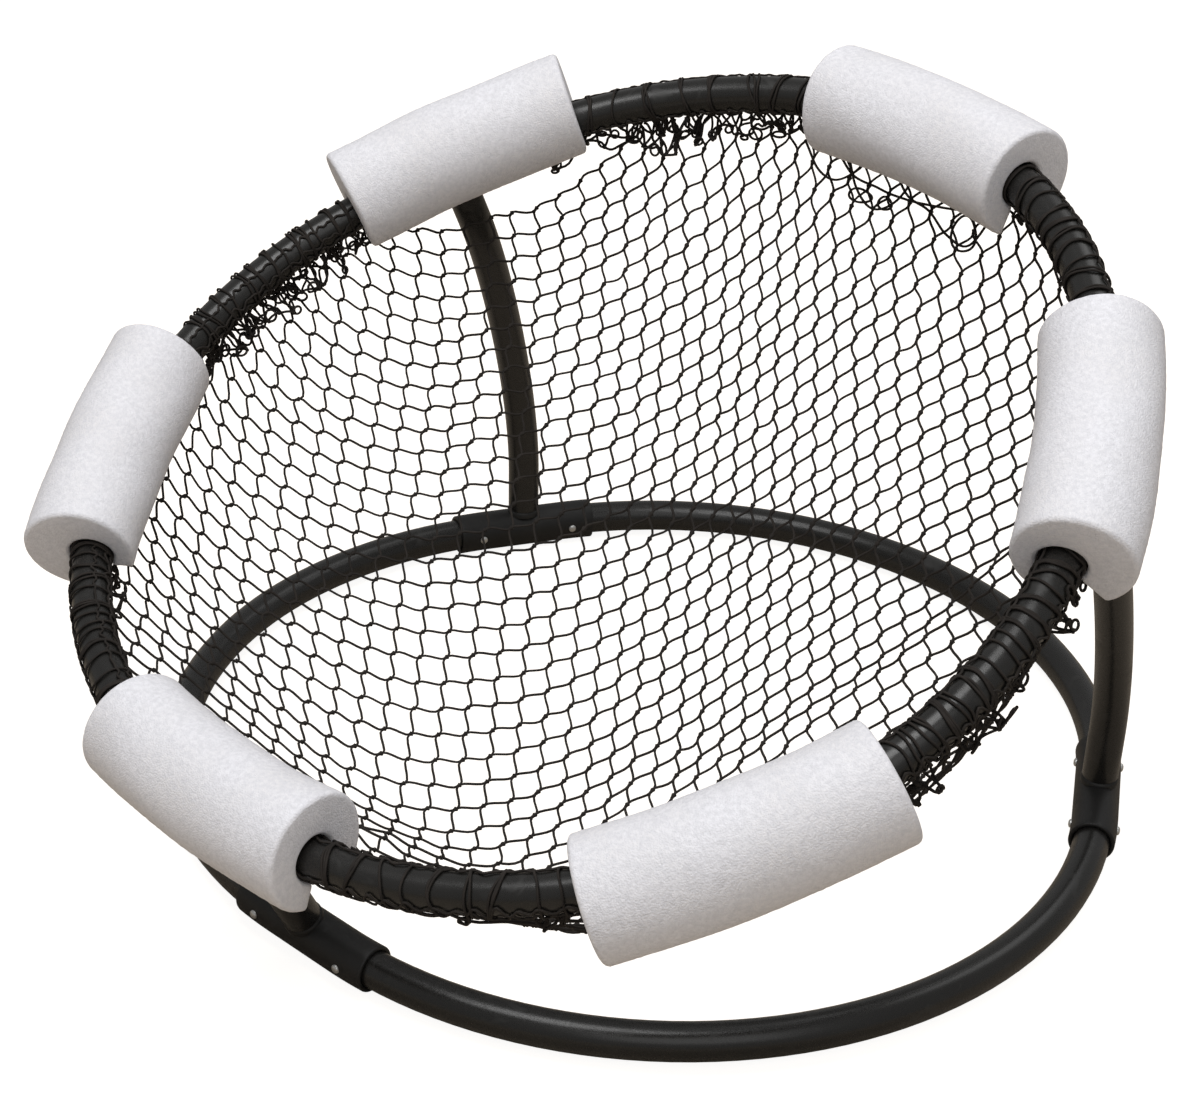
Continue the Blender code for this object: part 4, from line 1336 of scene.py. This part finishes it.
# Widths of twine, where it lies on the tube and hangs from it, and the slope of the sleeves' slit
EDGE_TWINE, HUNG_TWINE = 0.0023, 0.0026
LAY = TUBE_RADIUS + EDGE_TWINE / 2.0 + 0.0001
HUNG_TOP = TUBE_RADIUS + EDGE_TWINE
HUNG_LEAST = TUBE_RADIUS + HUNG_TWINE / 2.0 + 0.0002
SLIT_SLOPE = 0.5
# Steps and waves of the twines along the tube, and where the edge starts beside a tee
STAY_STEP, STAY_WAVE, STAY_BULGE = 0.0024, 0.0150, 0.00024
MOUTH = SLEEVE_LENGTH / 2.0 + 0.0006
TURN_MARGIN, TANGLE_MARGIN = 0.004, 0.009

# Ranges of the turns round the tube: twines in a bunch, slant, start and spacing, and their unevenness
BUNCH, TURN_SLANT, TURN_START, TURN_SPACING = (1, 4), (0.2, 1.0), (-0.4, 0.4), (0.72, 1.28)
SLANT_SHARE, TURN_ASIDE, OWN_PHASE, WAVER, TURN_BULGE = 0.30, 0.0016, 0.35, 0.0008, 0.0005
# Waves in each twine along the tube: their number, height, pace and unevenness
STAY_WAVES, STAY_HEIGHT, STAY_PACE, STAY_EVEN = 4, (0.4, 1.0), (0.35, 1.6), 1.6
# Ranges of the tangle: knots, the twines that hold them, their bows, and small loops
KNOT_ASIDE, KNOT_ACROSS, KNOT_SPACING = (-0.4, 0.4), (-0.45, 0.45), (0.6, 1.4)
HOLD_ASIDE, HOLD_ACROSS, HOLD_LIFT = (0.1, 0.5), (-0.4, 0.4), 0.0012
HOLD_BOW, DOWN_BOW, ROW_BOW = 0.0018, 0.0022, 0.0030
CURL_RADIUS, CURL_STRETCH, CURL_LEAN = (0.0032, 0.0062), (0.7, 1.3), 0.5
TURN_POINTS, CURL_POINTS, SLACK_POINTS = 33, 15, 9
EDGE_KNOT_HALF = (0.0020, 0.0036)


def on_tube(distances: Array, outs: Array, ups: Array) -> Array:
    """Places points about the rim's tube, outward of its centreline and above it."""
    centres, outwards = stations(distances)
    return rim_to_world(centres + outs[:, None] * outwards + ups[:, None] * UP)


def hung(points: Array) -> Array:
    """Places points, given by distance, outward and up, under the tube and within the sleeves' slit."""
    ups = np.minimum(points[:, 2], -HUNG_LEAST)
    return on_tube(points[:, 0], np.clip(points[:, 1], SLIT_SLOPE * ups, -SLIT_SLOPE * ups), ups)


def rungs(start: float, end: float, step: float, random: Random) -> list[Array]:
    """Winds turns round the tube, each a bunch of a few twines that lean their own ways."""
    lines = []
    place = start + TURN_MARGIN
    while place < end - TURN_MARGIN:
        phase = random.uniform(0.0, FULL_TURN)
        lean = random.uniform(*TURN_SLANT) * SLANT_SHARE * step
        for _ in range(random.integers(*BUNCH)):
            aside = random.normal(0.0, TURN_ASIDE)
            turn = -math.pi / 2 + random.uniform(*TURN_START) + np.linspace(0.0, FULL_TURN, TURN_POINTS)
            own = phase + random.normal(0.0, OWN_PHASE)
            waver = WAVER * ripple(3 * turn, random)
            distances = np.clip(place + aside + lean * np.sin(turn + own) + waver, start, end)
            radii = LAY + TURN_BULGE * (0.5 + 0.5 * ripple(5 * turn, random))
            lines.append(on_tube(distances, radii * np.cos(turn), radii * np.sin(turn)))
        place += step * random.uniform(*TURN_SPACING)
    return lines


def stays(tee: int, start: float, end: float, random: Random) -> list[Array]:
    """Lays wavy twines along the tube that tie the turns to each other."""
    distances = np.linspace(start, end, int((end - start) / STAY_STEP))
    waves = distances * FULL_TURN / STAY_WAVE
    lines = []
    for angle, swing in STAYS[tee]:
        slow = np.zeros_like(distances)
        for _ in range(STAY_WAVES):
            height = random.uniform(*STAY_HEIGHT)
            slow += height * ripple(waves * random.uniform(*STAY_PACE), random)
        radii = LAY + STAY_BULGE * (1.0 + ripple(waves, random))
        angles = angle + swing * slow / STAY_EVEN
        lines.append(on_tube(distances, radii * np.cos(angles), radii * np.sin(angles)))
    return lines


def slack_line(first: Array, second: Array, bow: float, random: Random) -> Array:
    """Draws a loose bit of twine between two points under the tube."""
    t = np.linspace(0.0, 1.0, SLACK_POINTS)[:, None]
    wave = np.sin(math.pi * t) * random.normal(0.0, bow, 3)
    wave = wave + np.sin(FULL_TURN * t) * random.normal(0.0, bow / 2, 3)
    return hung(first + (second - first) * t + wave)


def curl(knot: Array, random: Random) -> Array:
    """Draws a small round loop that starts and ends at a knot."""
    radius = random.uniform(*CURL_RADIUS)
    turn = np.linspace(0.0, FULL_TURN, CURL_POINTS)
    along = radius * np.sin(turn) * random.uniform(*CURL_STRETCH)
    down = radius * (1.0 - np.cos(turn)) * random.uniform(*CURL_STRETCH)
    lean = random.uniform(0.0, FULL_TURN)
    level = along * math.cos(lean) - down * math.sin(lean)
    steep = along * math.sin(lean) + down * math.cos(lean)
    across = CURL_LEAN * along * random.uniform(-1.0, 1.0)
    return hung(knot + np.stack([level, across, steep], axis=1))


def tangle(start: float, end: float, form: Hang, random: Random) -> tuple[list[Array], list[Array]]:
    """Hangs two rows of knots under the tube as an open web, with small loops at some of them.

    Gives back the bits of twine, and the knots in the tube's own directions.
    """
    middle = 0.5 * (form.shallow + form.deep)
    depths = ((form.shallow, middle), (middle, form.deep))
    lines, knots = [], []
    last: list[Array | None] = [None, None]
    place = start
    while place < end:
        upper = None
        for row, depth in enumerate(depths):
            if row == 1 and random.random() > form.filled:
                continue
            low = HUNG_TOP + random.uniform(*depth)
            along = place + random.uniform(*KNOT_ASIDE) * form.step
            knot = np.array([along, random.uniform(*KNOT_ACROSS) * low, -low])
            if row == 0:
                for way in (-1.0, 1.0):
                    shift = way * random.uniform(*HOLD_ASIDE) * form.step
                    out = random.uniform(*HOLD_ACROSS) * HUNG_TOP
                    anchor = np.array([along + shift, out, HOLD_LIFT - HUNG_TOP])
                    lines.append(slack_line(anchor, knot, HOLD_BOW, random))
                upper = knot
            else:
                lines.append(slack_line(upper, knot, DOWN_BOW, random))
                if last[0] is not None and random.random() < form.joined:
                    lines.append(slack_line(last[0], knot, DOWN_BOW, random))
            if last[row] is not None and random.random() < form.joined:
                lines.append(slack_line(last[row], knot, ROW_BOW, random))
            if random.random() < form.curled:
                lines.append(curl(knot, random))
            knots.append(knot)
            if row == 1:
                last[1] = knot
        last[0] = upper
        place += form.step * random.uniform(*KNOT_SPACING)
    return lines, knots


def build_net_edge() -> None:
    """Builds the net's edge at each rim tube: turns of twine, and a knotted tangle that hangs under them.

    Turns keep within the bore of the sleeves that slide over them, and the tangle within their slit.
    """
    for tee, tube_name in EVERY_TUBE:
        random = np.random.default_rng(SEED + EDGE_DRAW + tee)
        start, end = tee * THIRD + MOUTH, (tee + 1) * THIRD - MOUTH
        halfway = (start + end) / 2.0
        wound = stays(tee, start, end, random)
        loose, knots = [], []
        for first, last, form in ((start, halfway, HANGS[tee][0]), (halfway, end, HANGS[tee][1])):
            wound += rungs(first, last, form.turns, random)
            lines, found = tangle(first + TANGLE_MARGIN, last - TANGLE_MARGIN, form, random)
            loose += lines
            knots += found
        node = f"net_wrap_{tube_name}"
        hand_in(make_twines(f"{node}_twines", EDGE_TWINE, wound), "twine", node)
        hand_in(make_twines(f"{node}_tangle", HUNG_TWINE, loose), "twine", node)
        places = hung(np.array(knots))
        halves = random.normal(0.0, 1.0, places.shape)
        halves = unit(halves) * random.uniform(*EDGE_KNOT_HALF, (len(places), 1))
        facing = np.tile(RIM_AXES[:, 2], (len(places), 1))
        beads = make_beads(f"{node}_knots", places, halves, facing, EDGE_TWINE * KNOT_THICKNESS)
        smooth(beads, BEAD_SMOOTH)
        hand_in(beads, "twine", node)


# The camera, as fitted to the photograph
EYE = (1.2292, -1.4240, 1.3063)
YAW, PITCH, ROLL = math.radians(-43.145), math.radians(32.062), math.radians(0.776)
LENS, SENSOR, NEAR_CLIP = 69.88, 36.0, 0.01
SHIFT = (0.0448, 0.0858)

# The studio's lamps: place, size and power
LAMPS = {
    "key": ((0.0, -1.0, 3.5), 2.0, 70.0),
    "fill": ((2.2, -1.8, 2.6), 2.4, 18.0),
    "back": ((0.4, 2.2, 3.2), 2.0, 18.0),
}
LAMP_AIM = Vector((0.0, 0.0, 0.25))
FLOOR_SIZE, FLOOR_DROP = 60.0, 0.0004
FLOOR_COLOUR, FLOOR_GLOW = (0.46, 0.39, 0.31), 0.90
SURROUND_LIGHT = 0.34


def set_camera() -> None:
    """Sets the camera where the photograph was taken from."""
    level = math.cos(PITCH)
    forward = Vector((math.sin(YAW) * level, math.cos(YAW) * level, -math.sin(PITCH)))
    side = forward.cross(Vector((0.0, 0.0, 1.0))).normalized()
    up = side.cross(forward)
    right = math.cos(ROLL) * side + math.sin(ROLL) * up
    top = -math.sin(ROLL) * side + math.cos(ROLL) * up
    data = bpy.data.cameras.new("camera")
    data.sensor_width = SENSOR
    data.lens = LENS
    data.shift_x, data.shift_y = SHIFT
    data.clip_start = NEAR_CLIP
    camera = add_object("camera", data)
    camera.matrix_world = Matrix.Translation(EYE) @ Matrix((right, top, -forward)).transposed().to_4x4()
    bpy.context.scene.camera = camera


def lay_floor() -> None:
    """Lays a pale floor that keeps the object's shadow."""
    deselect()
    bpy.ops.mesh.primitive_plane_add(size=FLOOR_SIZE, location=(0.0, 0.0, -FLOOR_DROP))
    floor = bpy.context.object
    floor.name = "floor"
    material = bpy.data.materials.new("pale_floor")
    material.use_nodes = True
    sheet = NodeSheet(material.node_tree)
    seen = sheet.add("LightPath", {}).outputs["Is Camera Ray"]
    inputs = {
        "Base Color": FLOOR_COLOUR,
        "Roughness": 0.9,
        "Specular IOR Level": 0.0,
        "Emission Color": (1.0, 1.0, 1.0),
        "Emission Strength": sheet.math("MULTIPLY", seen, FLOOR_GLOW),
    }
    sheet.fill(material.node_tree.nodes["Principled BSDF"], inputs)
    floor.data.materials.append(material)


def set_surround() -> None:
    """Sets a plain pale surround, white to the camera."""
    world = bpy.data.worlds.new("surround")
    world.use_nodes = True
    bpy.context.scene.world = world
    sheet = NodeSheet(world.node_tree)
    seen = sheet.add("LightPath", {}).outputs["Is Camera Ray"]
    inputs = {"Color": (1.0, 1.0, 1.0), "Strength": sheet.spread(seen, 0.0, 1.0, SURROUND_LIGHT, 1.0)}
    sheet.fill(world.node_tree.nodes["Background"], inputs)


def build_studio() -> None:
    """Builds camera, floor, surround and lamps."""
    set_camera()
    lay_floor()
    set_surround()
    for name, (place, size, power) in LAMPS.items():
        data = bpy.data.lights.new(name, "AREA")
        data.size = size
        data.energy = power
        lamp = add_object(name, data)
        lamp.location = place
        lamp.rotation_euler = (LAMP_AIM - Vector(place)).to_track_quat("-Z", "Y").to_euler()
    bpy.context.scene.view_settings.view_transform = "Standard"


def main() -> None:
    """Builds every piece in order."""
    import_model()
    build_studio()
    grain = make_grain()
    for slot, finish in FINISHES.items():
        MATERIALS[slot] = finish.make(grain)
    for kind, frame in (("base", BASE_FRAME), ("rim", RIM_FRAME)):
        build_tubes(kind, frame)
        build_tees(kind, frame)
        build_rivets(kind, frame)
    build_legs()
    build_foam()
    build_net()
    build_net_edge()
    deselect()


if __name__ == "__main__":
    main()
